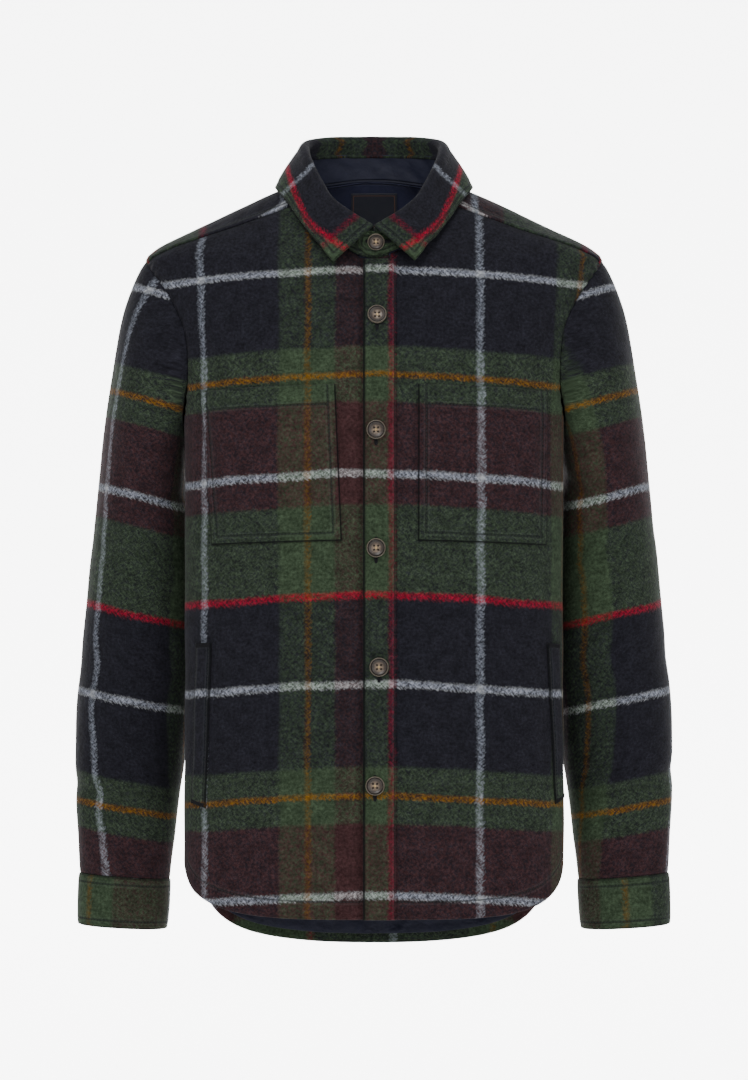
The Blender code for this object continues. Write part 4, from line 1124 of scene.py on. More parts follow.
def arc_table():
    """Lengths round the body form from the centre front, by height and turn."""
    heights = np.linspace(*ARC_SPAN, ARC_ROWS)
    turns = np.linspace(0, math.pi, ARC_COLUMNS)
    points = form_point(heights[:, None] + 0 * turns, turns[None, :] + 0 * heights[:, None])
    return heights, run(points, 1)


ARC_HEIGHTS, ARC = arc_table()


def arc_to(height, turn):
    """Length round the form from the centre front, at one height."""
    rows, columns = ARC.shape
    i = np.clip(np.interp(height, ARC_HEIGHTS, np.arange(rows)), 0, rows - 1.001)
    j = np.clip(np.abs(turn) / math.pi * (columns - 1), 0, columns - 1.001)
    a, b = i.astype(int), j.astype(int)
    s, t = i - a, j - b
    low = ARC[a, b] * (1 - t) + ARC[a, b + 1] * t
    high = ARC[a + 1, b] * (1 - t) + ARC[a + 1, b + 1] * t
    return low * (1 - s) + high * s


def depth_table(reach):
    """Lengths down a meridian of the form from the weft's level."""
    heights = np.linspace(*DEPTH_SPAN, DEPTH_ROWS)
    line = np.stack([reach(heights), heights], axis=-1)
    steps = np.linalg.norm(np.diff(line, axis=0), axis=1)
    total = np.concatenate([[0], np.cumsum(steps)])
    return heights, total - np.interp(WEFT_LEVEL, heights, total)


FRONT_DEPTH = depth_table(front_y)
BACK_DEPTH = depth_table(back_y)


def sag(height, turn):
    """How far the weft drops from its level at the centre."""
    x = form_point(height, turn)[..., 0]
    return ROW_SAG * (np.abs(x) / SAG_HALF_WIDTH) ** SAG_POWER


def front_cloth(height, turn, warp):
    """Cloth coordinates on a front: across from a navy line's middle, and down."""
    across = np.sign(turn) * arc_to(height, turn) - warp
    down = -np.interp(height, *FRONT_DEPTH) - sag(height, turn)
    return np.stack([across, down], axis=-1)


def back_cloth(height, turn):
    """Cloth coordinates on the back."""
    half = arc_to(height, np.full(np.shape(height), math.pi))
    around = np.where(turn > math.pi, turn - 2 * math.pi, turn)
    across = np.sign(around) * (half - arc_to(height, around))
    down = -np.interp(height, *BACK_DEPTH) - sag(height, turn)
    return np.stack([across - BACK_CLOTH_SHIFT, down], axis=-1)


# Pieces

# Chest pocket's stitching: its distance from the sewn edges, and from the top
POCKET_STITCH = 0.0080
POCKET_HEM = 0.0195
# How much thinner pockets and welts are than other cloth, and how far the band is pressed in
POCKET_PRESSED = 0.0006
WELT_PRESSED = 0.0004
BAND_PRESSED = 0.0003
# Place in the tartan of pieces that don't follow the body: across, down
WELT_CLOTH_AT = 0.350
YOKE_CLOTH_AT = (0.097, 0.215)
YOKE_CLOTH_WIDE = 1.08
STAND_CLOTH_AT = (0.236, 0.252)
LEAF_CLOTH_AT = (0.303, 0.376)
SLEEVE_CLOTH_AT = {1: (-0.012, -0.096), -1: (-0.048, -0.096)}
CUFF_CLOTH_AT = {1: (0.040, -0.430), -1: (0.076, -0.430)}
# Tilt of the weft at a tube's top and foot
SLEEVE_TILT = (0.30, 0.16)
CUFF_TILT = (0.02, 0.02)
# Cells into which each step of a coarse grid is parted, down and across
FRONT_PARTS = (8, 8)
BACK_PARTS = (9, 5)
POCKET_PARTS = (16, 20)
WELT_PARTS = (44, 18)
LINING_PARTS = (7, 6)
YOKE_BACK_PARTS = 8
BAND_PARTS = 10
FOLD_PARTS = 4
BUTTON_PARTS = 3
# Rows and columns of the other grids
SLEEVE_ROWS = 186
CUFF_ROWS = 29
BAND_COLUMNS = 17
STAND_ROWS = 15
LEAF_COLUMNS = 217
FALL_ROWS = 25
# How far cloth swells between its seams: height, reach, distance from the edge where it starts
WELT_PUFF = (0.0006, 0.006, 0.0)
BAND_PUFF = (0.0006, 0.005, 0.0)
CUFF_PUFF = (0.0005, 0.008, 0.0)
LEAF_PUFF = (0.0005, 0.004, 0.007)
POCKET_PUFF = (0.0006, 0.012, 0.0084)
# Raised cloth between the pocket's rows of stitching, and in its hem: from, to, softness
POCKET_CHANNEL = (0.0016, 0.0078, 0.002)
POCKET_HEM_BAND = (0.001, 0.0190, 0.003)
# Pocket's fullness at half its height
POCKET_HEIGHT = 0.155
POCKET_SAG = 0.0012
# Columns of the stand that the facing lies on
FACED = slice(12, -14)
FACING_WALL = 0.0006


def soft_edges(outer, normals, edges, depth=0.0010, reach=0.0045):
    """Draws a panel's sewn edges down into their seams."""
    distance = seam_field(outer, edges)[..., 1]
    dip = depth * np.exp(-((distance / reach) ** 2))
    return outer - dip[..., None] * normals


def tucked(outer, normals, cloth, along=0.0045, under=0.0028):
    """A panel with one more row before its first, which runs in under its neighbour."""
    way = unit(outer[1] - outer[0])
    row = outer[0] - along * way - under * normals[0]
    return (
        np.concatenate([row[None], outer]),
        np.concatenate([normals[:1], normals]),
        np.concatenate([cloth[:1], cloth]),
    )


def puckers(distance, along, size=0.0007, pitch=0.0105):
    """Small gathers across a seam, fading away from it."""
    wobble = 0.8 * np.sin(along * 131) + 0.5 * np.sin(along * 59)
    fade = np.exp(-((distance / 0.011) ** 2)) * (0.55 + 0.45 * np.sin(along * 37 + 1))
    return size * fade * np.sin(along * 2 * math.pi / pitch + wobble)


def puff(field, height, reach, start):
    """How far cloth swells out, away from its sewn edges."""
    return height * smooth_step((field[..., 1] - start) / reach)


def plateau(value, low, high, soft):
    """1 between two values and 0 outside them, with smooth ends."""
    return smooth_step((value - low) / soft) * smooth_step((high - value) / soft)


def build_front(side):
    """Front panel, with the pocket and the welt that lie on it."""
    coarse = front_grid(side)
    heights, turns = finer_pair(coarse, FRONT_PARTS)
    outer, normals = surface(heights, turns)
    warp = LEFT_WARP if side > 0 else RIGHT_WARP
    cloth = front_cloth(heights, turns, warp)
    sewn = soft_edges(outer, normals, ("first_row", "last_column"))
    arm = seam_field(sewn, ("last_column",))
    lift = puckers(arm[..., 1], arm[..., 0]) * smooth_step((sewn[..., 2] - UNDERARM_Z) / 0.03)
    if side < 0:
        depth, distance, half_width = BAND_TROUGH
        beside = (sewn[..., 0] - BAND_X[0] + distance) / half_width
        lift = lift - depth * np.exp(-(beside**2))
    sewn = sewn + lift[..., None] * normals
    sewn, normals, cloth = tucked(sewn, normals, cloth)
    field = seam_field(sewn, ("last_row",))
    piece = shell("front_" + SIDE_NAMES[side], sewn, normals, cloth, WALL, HEM_CLOTH, field)
    sew(piece)
    build_pocket(side, coarse, warp)
    build_welt(side, coarse, warp)


def sew(piece):
    """The node has the piece's name without the number that Blender adds to a name in use.
    """
    dress(piece, piece.name.split(".")[0])


def patch(coarse, rows, columns, parts):
    """A part of a front's grid, finer."""
    heights, turns = finer_pair([lines[rows, columns] for lines in coarse], parts)
    points, normals = surface(heights, turns)
    return heights, turns, points, normals


def build_pocket(side, coarse, warp):
    """Patch pocket with two rows of stitching and a deep top hem."""
    rows = slice(POCKET_TOP_ROW, POCKET_BOTTOM_ROW + 1)
    columns = slice(INNER_CELLS, INNER_CELLS + POCKET_CELLS + 1)
    heights, turns, points, normals = patch(coarse, rows, columns, POCKET_PARTS)
    field = seam_field(points, ("first_column", "last_column", "last_row"))
    distance = field[..., 1]
    from_top = run(points, 0)
    body = puff(field, *POCKET_PUFF)
    sunk = POCKET_SAG / POCKET_PUFF[0] * body
    lift = body + sunk * np.sin(np.clip(from_top / POCKET_HEIGHT, 0, 1) * math.pi)
    lift += 0.0009 * plateau(distance, *POCKET_CHANNEL) + 0.0004 * plateau(from_top, *POCKET_HEM_BAND)
    outer = points + (SEAM_GAP + WALL - POCKET_PRESSED + lift)[..., None] * normals
    cloth = front_cloth(heights, turns, warp)
    from_hem = np.abs(from_top - POCKET_HEM)
    top = (from_hem < np.abs(distance - POCKET_STITCH)) & (distance > POCKET_STITCH)
    field[..., 1] = np.where(top, POCKET_STITCH + from_hem, distance)
    field[..., 0] = np.where(top, run(points, 1), field[..., 0])
    name = SIDE_NAMES[side]
    wall = WALL - POCKET_PRESSED
    piece = shell("pocket_" + name, outer, normals, cloth, wall, POCKET_CLOTH, field)
    sew(piece)


def build_welt(side, coarse, warp):
    """Side pocket's welt, with a bartack at each end."""
    rows = slice(WELT_TOP_ROW, WELT_BOTTOM_ROW + 1)
    first = INNER_CELLS + POCKET_CELLS
    columns = slice(first, first + 2)
    heights, turns, points, normals = patch(coarse, rows, columns, WELT_PARTS)
    field = seam_field(points, ("first_column", "last_column", "first_row", "last_row"))
    lift = SEAM_GAP + WALL - WELT_PRESSED + puff(field, *WELT_PUFF)
    outer = points + lift[..., None] * normals
    cloth = front_cloth(heights, turns, warp)
    cloth[..., 0] = run(points, 1) + WELT_CLOTH_AT
    name = SIDE_NAMES[side]
    piece = shell("welt_" + name, outer, normals, cloth, WALL - WELT_PRESSED, WELT_CLOTH, field)
    sew(piece)
    build_bartacks("bartacks_" + name, outer, normals)


def build_back():
    """Back panel. Returns its coarse grid, for the yoke and the linings."""
    coarse = back_grid()
    heights, turns = finer_pair(coarse, BACK_PARTS)
    outer, normals = surface(heights, turns)
    cloth = back_cloth(heights, turns)
    outer = soft_edges(outer, normals, ("first_row", "first_column", "last_column"))
    outer, normals, cloth = tucked(outer, normals, cloth)
    field = seam_field(outer, ("last_row",))
    piece = shell("back", outer, normals, cloth, WALL, HEM_CLOTH, field)
    sew(piece)
    return coarse


def yoke_grid(back_coarse):
    """Heights and turns of the yoke's points, a row from the back seam to the front."""
    back_heights, back_turns = (finer_line(lines[0], YOKE_BACK_PARTS) for lines in back_coarse)
    neck_turns = np.linspace(-LEFT_NECK[0], LEFT_NECK[0] - 360, YOKE_PART_POINTS)
    neck_heights, neck_form_turns = neck(np.radians(neck_turns))
    right = front_seam_line(-1)
    left = front_seam_line(1)
    pick = np.linspace(0, LINE_POINTS - 1, YOKE_PART_POINTS).astype(int)
    heights = np.concatenate([right[0][pick][::-1], neck_heights[1:-1], left[0][pick]])
    turns = np.concatenate([right[1][pick][::-1], neck_form_turns[1:-1], left[1][pick]])
    along, _ = lengths_along(form_point(back_heights, back_turns))
    ends = (0, YOKE_ARM_SHARE, 1 - YOKE_ARM_SHARE, 1)
    parts = [np.linspace(a, b, YOKE_PART_POINTS) for a, b in zip(ends, ends[1:])]
    wanted = np.concatenate([parts[0], parts[1][1:-1], parts[2]])
    start = plan_of(np.interp(wanted, along, back_heights), np.interp(wanted, along, back_turns))
    end = plan_of(heights, turns)
    share = np.linspace(0, 1, YOKE_ROWS)[:, None]
    height, turn = from_plan(*(a + (b - a) * share for a, b in zip(start, end)))
    arm_height, arm_turn = armhole(np.linspace(YOKE_BACK_ANGLE, YOKE_FRONT_ANGLE, YOKE_ROWS))
    for side, column in ((-1, 0), (1, -1)):
        height[:, column] = arm_height
        turn[:, column] = arm_turn * side
    return height, turn


def build_yoke(height, turn):
    """Yoke over both shoulders, laid over the panels that it joins."""
    outer, normals = surface(height, turn)
    points = form_point(height, turn)
    across = points[..., 0] * YOKE_CLOTH_WIDE + YOKE_CLOTH_AT[0]
    cloth = np.stack([across, run(points, 0) + YOKE_CLOTH_AT[1]], axis=-1)
    outer = soft_edges(outer, normals, ("first_column", "last_column"))
    field = seam_field(outer, ("first_row",))
    front = seam_field(outer, ("last_row",))
    shoulders = np.ones(height.shape[1], bool)
    shoulders[YOKE_PART_POINTS + 1 : -YOKE_PART_POINTS - 1] = False
    use = shoulders[None, :] & (front[..., 1] < field[..., 1])
    field = np.where(use[..., None], front, field)
    felled = 0.0008 * (1 - smooth_step((field[..., 1] - 0.006) / 0.003))
    outer = outer + felled[..., None] * normals
    piece = shell("yoke", outer, normals, cloth, WALL, EDGE_CLOTH, field)
    sew(piece)


def ring_at(table, place):
    """A ring between two rows of a table of rings."""
    rows = [(k, *row) for k, row in enumerate(table)]
    return [curve_through(rows, c)(place) for c in range(1, 7)]


def tube_points(table, places, angles):
    """Points of a tube on the left, by place down its table and angle from its outside."""
    outer_x, outer_z, inner_x, inner_z, middle_y, half_depth = (
        value[:, None] for value in ring_at(table, places)
    )
    bend = 2 / SLEEVE_POWER
    across = (np.sign(np.cos(angles)) * np.abs(np.cos(angles)) ** bend)[None, :]
    along = (np.sign(np.sin(angles)) * np.abs(np.sin(angles)) ** bend)[None, :]
    x = (outer_x + inner_x) / 2 + across * (outer_x - inner_x) / 2
    z = (outer_z + inner_z) / 2 + across * (outer_z - inner_z) / 2
    y = middle_y - along * half_depth
    middle = np.stack([(outer_x + inner_x) / 2, middle_y, (outer_z + inner_z) / 2], axis=-1)
    return np.stack([x, y, z], axis=-1), middle


def sleeve_fold(name, points, angles):
    """How far a sleeve's soft folds move the cloth out."""
    total = np.zeros(points.shape[:-1])
    for side, height, angle, slope, half_height, half_turn, depth in SLEEVE_FOLDS:
        if side != name:
            continue
        turn = (np.degrees(angles) - angle + 180) % 360 - 180
        up = points[..., 2] - height - slope * 0.06 * np.radians(turn)
        total += depth * np.exp(-((up / half_height) ** 2) - (turn / half_turn) ** 2)
    return total


def tube_cloth(points, tilt):
    """Cloth coordinates on a tube, across from its outside and down.

    Tilt is how far the weft drops towards the body, at the tube's top and at its foot.
    """
    across = run(points * [1, 1, 0], 1)
    middle = points.shape[1] // 2
    across = across - across[:, middle : middle + 1]
    share = np.clip((points[0, ..., 2].max() - points[..., 2]) / TUBE_LENGTH, 0, 1)
    lean = tilt[0] + (tilt[1] - tilt[0]) * share
    axis_x = TUBE_AXIS_X[0] + (TUBE_AXIS_X[1] - TUBE_AXIS_X[0]) * share
    down = -points[..., 2] - lean * (axis_x - points[..., 0])
    return np.stack([across, down], axis=-1)


def build_sleeve(side):
    """Sleeve, sewn up along its inside."""
    name = SIDE_NAMES[side]
    angles = np.linspace(-math.pi, math.pi, TUBE_POINTS)
    last = len(SLEEVE_RINGS) - 1
    places = np.linspace(0, last, SLEEVE_ROWS)
    points, middle = tube_points(SLEEVE_RINGS, places, angles)
    height, turn = armhole(angles)
    edge = surface(height, turn * side)[0] * [side, 1, 1]
    keep = np.clip(1 - places / CAP_RINGS, 0, 1)[:, None, None] ** 2
    points = points + keep * (edge - points[0])
    normals = grid_normals(points, points - middle)
    fade = smooth_step(places / 3) * smooth_step((last - places) / 1.2)
    fold = (sleeve_fold(name, points, angles) + ripple(points)) * fade[:, None]
    fold = fold + puckers(run(points, 0), run(points, 1), 0.0009, 0.0125)
    outer = points + fold[..., None] * normals
    cloth = tube_cloth(outer, SLEEVE_TILT) + np.array(SLEEVE_CLOTH_AT[side])
    outer = soft_edges(outer, normals, ("first_row",), 0.0012, 0.005)
    normals = grid_normals(outer, points - middle)
    normals[:, 0] = normals[:, -1] = unit(normals[:, 0] + normals[:, -1])
    outer, normals, cloth = tucked(outer, normals, cloth)
    outer, normals = outer * [side, 1, 1], normals * [side, 1, 1]
    piece = shell("sleeve_" + name, outer, normals, cloth, WALL, EDGE_CLOTH)
    sew(piece)


def build_cuff(side):
    """Cuff, closed with one button at the back."""
    name = SIDE_NAMES[side]
    mirror = np.array([side, 1, 1])
    angles = np.linspace(-math.pi, math.pi, TUBE_POINTS)
    places = np.linspace(0, len(CUFF_RINGS) - 1, CUFF_ROWS)
    points, middle = tube_points(CUFF_RINGS, places, angles)
    normals = grid_normals(points, points - middle)
    field = seam_field(points, ("first_row", "last_row"))
    lift = puff(field, *CUFF_PUFF) + ripple(points, 0.0003)
    outer = points + lift[..., None] * normals
    cloth = tube_cloth(outer, CUFF_TILT) + np.array(CUFF_CLOTH_AT[side])
    normals[:, 0] = normals[:, -1] = unit(normals[:, 0] + normals[:, -1])
    outer, normals = outer * mirror, normals * mirror
    piece = shell("cuff_" + name, outer, normals, cloth, CUFF_WALL, CUFF_CLOTH, field)
    sew(piece)
    near = CUFF_BUTTON_ANGLE + np.array([-0.05, 0, 0.05])
    (spots,), ((centre,),) = tube_points(CUFF_RINGS, np.array([1.0]), near)
    out = unit(np.cross(spots[2] - spots[0], [0, 0, 1.0]))
    out = out * np.sign(np.dot(out, spots[1] - centre))
    place = (spots[1] + 0.0005 * out) * mirror
    build_button("cuff_button_" + name, place, out * mirror, CUFF_BUTTON_RADIUS)


def build_band():
    """Band of the left front, over both fronts' edges. Returns its outer face."""
    top = float(neck(np.array([0.0]))[0][0]) - 0.0006
    heights = finer_line([top] + [row[0] for row in FRONT_ROWS], BAND_PARTS)
    x = np.linspace(*BAND_X, BAND_COLUMNS)
    height = heights[:, None] + 0 * x
    turn = turn_at(x + 0 * height, height)
    points, normals = surface(height, turn)
    field = seam_field(points, ("first_column",))
    lift = SEAM_GAP + WALL - BAND_PRESSED + puff(field, *BAND_PUFF)
    outer = points + lift[..., None] * normals
    cloth = front_cloth(height, turn, LEFT_WARP)
    piece = shell("placket", outer, normals, cloth, WALL, BAND_CLOTH, field)
    sew(piece)
    return outer, normals


def tab_lift(turns):
    """How far the left end stands out over the right end."""
    start, end = TAB_RAMP
    share = np.clip((start - (turns + 360)) / (start - end), 0, 1)
    return np.where(-turns > 180, TAB_LIFT * smooth_step(share), 0)


def neck_edge(turn):
    """Neck seam's point, and the way up out of the wall there."""
    point, normal = surface(*neck(turn))
    along = form_point(*neck(turn + 0.01)) - form_point(*neck(turn - 0.01))
    _, _, out = plan_ring(turn, NECK_HALF_WIDTH, NECK_FRONT, NECK_BACK)
    up = unit(np.cross(along, unit(-normal - out)))
    return point, up * np.sign(up[..., 2:3])


def collar_base(turns):
    """What the stand and the leaf share, by degrees round the neck."""
    centre = np.abs((turns + 180) % 360 - 180)
    lift = tab_lift(turns)[:, None]
    x, y, out = plan_ring(np.radians(turns), STAND_HALF_WIDTH, STAND_FRONT, STAND_BACK)
    top = np.stack([x, y, stand_top_z(centre)], axis=-1) + lift * out
    return centre, lift, out, top


def build_stand():
    """Collar stand with its buttoned tab, faced inside. Returns its foot, top and turns."""
    right_end, tab_end = (
        math.degrees(math.asin(x / NECK_HALF_WIDTH)) for x in (RIGHT_EDGE_X, TAB_END_X)
    )
    overlap = np.linspace(right_end, 0, 9)[:-1]
    tab = np.linspace(-360, tab_end - 360, 10)
    turns = np.concatenate([overlap, np.linspace(0, -360, 181)[:-1], tab])
    centre, lift, out, top = collar_base(turns)
    past = np.maximum(turns, 0) + np.maximum(-360 - turns, 0)
    top[:, 2] -= END_DROP * smooth_step(past / 12) + 0.0012 * smooth_step(1 - centre / 14)
    foot, up = neck_edge(np.radians(turns))
    foot = foot + SEAM_GAP / 2 * up + lift * (out + [0, 0, TAB_RISE])
    foot[:, 2] += TAB_ROUND * smooth_step((-turns - 360 - 2) / 10) ** 2
    top = top + WALL / 2 * out
    rows = np.linspace(0, 1, STAND_ROWS)[:, None, None]
    outer = foot + (top - foot) * rows + 0.0006 * np.sin(math.pi * rows) * out
    normals = grid_normals(outer, out[None] + 0 * outer)
    field = seam_field(outer, ("first_row", "last_column", "last_row"))
    length = run(outer, 1)
    across = length[:, -1:] - length + STAND_CLOTH_AT[0]
    cloth = np.stack([across, run(outer, 0) + STAND_CLOTH_AT[1]], axis=-1)
    piece = shell("collar_stand", outer, normals, cloth, WALL, EDGE_CLOTH, field)
    sew(piece)

    crumple = np.sin(length * 190 + 9 * rows[..., 0]) * np.sin(length * 71) * 0.0005
    faced = outer - (WALL + 0.0009 + crumple)[..., None] * normals
    faced, inward, cloth = faced[:, FACED], -normals[:, FACED], cloth[:, FACED]
    faced[0] -= 0.0030 * unit(faced[1] - faced[0])
    field = seam_field(faced, ("first_row",))
    facing = shell("stand_facing", faced, inward, cloth, FACING_WALL, FACING_PAINTED_DARKER, field)
    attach(facing, "root")
    return foot, top, turns


def build_leaf():
    """Turned-down collar, from the top of the stand over the fold to its free edge."""
    turns = np.linspace(0, -360, LEAF_COLUMNS)
    centre, lift, out, base = collar_base(turns)
    x, y, fold_out = plan_ring(np.radians(turns), FOLD_HALF_WIDTH, FOLD_FRONT, FOLD_BACK)
    side = np.where(turns < -180, 1, -1)
    fold = np.stack([x, y, fold_top_z(centre)], axis=-1) + lift * fold_out
    aside = side[:, None] * np.array([1, 0, 0])
    slant = np.clip(1 - centre / END_SLANT_TURN, 0, 1)[:, None]
    base = base - WALL / 2 * out + [0, 0, SEAM_GAP]
    rows = [base - LEAF_TUCK[0] * out - [0, 0, LEAF_TUCK[1]], base]
    for outward, down in finer_line(FOLD_SECTION, FOLD_PARTS):
        across = max(outward, 0) / FOLD_SECTION[-1][0] * down
        rows.append(fold + outward * fold_out - [0, 0, down] + across * slant * aside)
    edge = form_point(leaf_z(centre), np.radians(leaf_turn(centre)) * side)
    edge = edge + (leaf_lift(centre)[:, None] + lift) * form_normal(edge)
    last = rows[-1]
    for share in np.linspace(0, 1, FALL_ROWS)[1:]:
        bulge = FALL_BULGE * math.sin(math.pi * share)
        rows.append(last + (edge - last) * share + bulge * fold_out)
    outer = np.array(rows)
    normals = grid_normals(outer, fold_out + 0 * outer)
    field = seam_field(outer, ("last_row", "first_column", "last_column"))
    length = run(outer, 1)
    across = np.minimum(length, length[:, -1:] - length) + LEAF_CLOTH_AT[0]
    cloth = np.stack([across, LEAF_CLOTH_AT[1] - run(outer, 0)], axis=-1)
    outer = outer + puff(field, *LEAF_PUFF)[..., None] * normals
    piece = shell("collar_leaf", outer, normals, cloth, LEAF_WALL, COLLAR_CLOTH, field)
    sew(piece)


def build_yoke_lining(height, turn):
    """Yoke lining, inside the yoke and a little crumpled."""
    points, normals = surface(height[:, 1:-1], turn[:, 1:-1])
    x, y = points[..., 0], points[..., 1]
    crumple = 0.0005 * np.sin(120 * y + 60 * x) * np.sin(47 * x)
    near = points - (WALL + 2 * SEAM_GAP + 0.0008 + crumple)[..., None] * normals
    field = seam_field(near, ("last_row",))
    piece = shell("yoke_lining", near, normals, points[..., :2], LINING_WALL, LINING_PAINTED_LIGHTER, field)
    sew(piece)


def build_back_lining(back_coarse):
    """Back lining, loose near the hem."""
    grids = []
    for grid in back_coarse:
        grid = grid[:, 1:-1].copy()
        grid[-1] += (grid[-2] - grid[-1]) * LINING_HANG * LINING_SHORT_OF_HEM
        grids.append(grid)
    points, normals = surface(*finer_pair(grids, LINING_PARTS))
    x, z = points[..., 0], points[..., 2]
    low = smooth_step((-0.60 - z) / 0.12)
    crumple = 0.0016 * low * np.sin(95 * x + 2 * np.sin(40 * x)) * np.sin(60 * z + 30 * x)
    crumple = crumple + 0.0005 * np.sin(50 * x) * np.sin(35 * z)
    near = points - (WALL + 2 * SEAM_GAP + 0.0018 + crumple)[..., None] * normals
    near, normals, cloth = tucked(near, normals, points[..., ::2], 0.0070, 0.0)
    field = seam_field(near, ("last_row",))
    piece = shell("back_lining", near, normals, cloth, LINING_WALL, BACK_LINING_PAINTED_DARKER, field)
    sew(piece)


def build_label():
    """Neck label, bare."""
    x = np.linspace(-LABEL_HALF_WIDTH, LABEL_HALF_WIDTH, 41)[None, :]
    height = np.linspace(LABEL_TOP_Z, LABEL_BOTTOM_Z, 31)[:, None] + 0 * x
    share = (np.abs(x) / half_width(height)) ** (BACK_POWER / 2)
    turn = np.where(x == 0, math.pi, np.sign(x) * (math.pi - np.arcsin(share)))
    points, normals = surface(height, turn)
    depth = WALL + 3 * SEAM_GAP + LINING_WALL + LABEL_CLEAR
    near = points - depth * normals
    cloth = np.stack([x + 0 * height, height], axis=-1)
    field = seam_field(near, ("first_row", "last_row", "first_column", "last_column"))
    piece = shell("label", near, -normals, cloth, LABEL_WALL, LABEL, field)
    sew(piece)


# Buttons

BUTTON_PROFILE = [
    (0.000, 0.0017),
    (0.300, 0.0017),
    (0.520, 0.0019),
    (0.650, 0.0024),
    (0.740, 0.0028),
    (0.790, 0.0027),
    (0.830, 0.0023),
    (0.870, 0.0028),
    (0.910, 0.0034),
    (0.960, 0.0033),
    (0.990, 0.0026),
    (1.000, 0.0019),
    (0.985, 0.0011),
    (0.900, 0.0003),
    (0.700, 0.0000),
    (0.000, 0.0000),
]
FACE_Z = BUTTON_PROFILE[0][1]
HOLE_PLACE = 0.205
HOLE_RADIUS = 0.120
HOLE_DEPTH = 0.0015
BUTTON_SPOKES = 64
# Rows of the flat middle, and of all of the button's outer side
FACE_ROWS = 15
TOP_ROWS = 30
THREAD_RADIUS = 0.00019
THREAD_SHIFT = 0.00014
TACK_RADIUS = 0.00042
BUTTONHOLE_RADIUS = 0.00055
# Half length and half width of the two rings of a buttonhole's stitches
BUTTONHOLE_RINGS = ((0.0118, 0.0007), (0.0124, 0.0014))
HOLE_SHIFT = 0.0022
BUTTONHOLE_LIFT = 0.0001


def build_button(name, place, out, radius):
    """Four-hole button, seated on the cloth."""
    out = unit(np.asarray(out, float))
    side = unit(np.cross([0, 0, 1.0], out))
    up = np.cross(out, side)
    inner = np.linspace(0.02, 0.30, FACE_ROWS)
    profile = finer_line(BUTTON_PROFILE, BUTTON_PARTS)
    profile = profile[profile[:, 0] > 0.31][:-1]
    profile = np.concatenate([np.stack([inner, np.full(FACE_ROWS, FACE_Z)], axis=-1), profile])
    angles = np.arange(BUTTON_SPOKES) * 2 * math.pi / BUTTON_SPOKES
    share = profile[:, :1] + 0 * angles
    across = share * np.cos(angles)
    along = share * np.sin(angles)
    hole = 0 * share
    for x in (-HOLE_PLACE, HOLE_PLACE):
        for y in (-HOLE_PLACE, HOLE_PLACE):
            sink = smooth_step((HOLE_RADIUS - np.hypot(across - x, along - y)) / 0.035)
            hole = np.maximum(hole, sink)
    hole[TOP_ROWS:] = 0
    rise = profile[:, 1:] - HOLE_DEPTH * hole + SEAM_GAP
    points = place + radius * (across[..., None] * side + along[..., None] * up)
    points = (points + rise[..., None] * out).reshape(-1, 3)
    centres = [place + (FACE_Z + SEAM_GAP) * out, place + SEAM_GAP * out]
    vertices = np.concatenate([points, centres])
    last = len(points) - BUTTON_SPOKES
    faces = []
    for i in range(BUTTON_SPOKES):
        after = (i + 1) % BUTTON_SPOKES
        for row in range(0, last, BUTTON_SPOKES):
            below = row + BUTTON_SPOKES
            faces.append((row + i, below + i, below + after, row + after))
        faces.append((i, after, len(points)))
        faces.append((last + after, last + i, len(points) + 1))
    field = np.stack([share.ravel(), hole.ravel()], axis=-1)
    piece = new_object(name, vertices, faces, {"seam": np.concatenate([field, [[0, 0]] * 2])}, HORN)
    dress(piece, name)
    build_cross(name + "_thread", place, (out, side, up), radius)


def build_cross(name, place, ways, radius):
    """Crossed thread that holds a button."""
    out, side, up = ways
    strands = []
    for angle in (math.radians(45), math.radians(135)):
        way = math.cos(angle) * side + math.sin(angle) * up
        beside = np.cross(out, way)
        for shift in (-THREAD_SHIFT, THREAD_SHIFT):
            line = []
            for t in np.linspace(-1, 1, 11):
                reach = HOLE_PLACE * 0.95 * radius
                bow = 0.0015 + 0.0008 * (1 - t * t) - 0.0010 * abs(t) ** 4
                line.append(place + reach * t * way + shift * beside + (bow + SEAM_GAP) * out)
            strands.append(np.array(line))
    cross = tubes(name, strands, THREAD_RADIUS, THREAD)
    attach(cross, "root")


def build_buttonhole(name, place, out, way):
    """Stitched edge of a buttonhole, under a button and a little past it."""
    across = unit(np.cross(out, way))
    rings = []
    centre = place - HOLE_SHIFT * way + BUTTONHOLE_LIFT * out
    for half_length, half_width in BUTTONHOLE_RINGS:
        line = []
        for angle in np.linspace(0, 2 * math.pi, 41):
            reach = half_length * math.cos(angle)
            aside = half_width * math.copysign(abs(math.sin(angle)) ** 0.4, math.sin(angle))
            line.append(centre + reach * way + aside * across)
        rings.append(np.array(line))
    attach(tubes(name, rings, BUTTONHOLE_RADIUS, DARK_THREAD), "root")


def build_bartacks(name, outer, normals):
    """Close rows of thread across both ends of a welt."""
    lines = []
    for row, beside in ((0, 1), (-1, -2)):
        way = unit(outer[beside] - outer[row])[1:-1]
        for step in range(5):
            reach = 0.0012 + 0.0007 * step
            lines.append(outer[row, 1:-1] + reach * way + 0.0002 * normals[row, 1:-1])
    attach(tubes(name, lines, TACK_RADIUS, DARK_THREAD), "root")


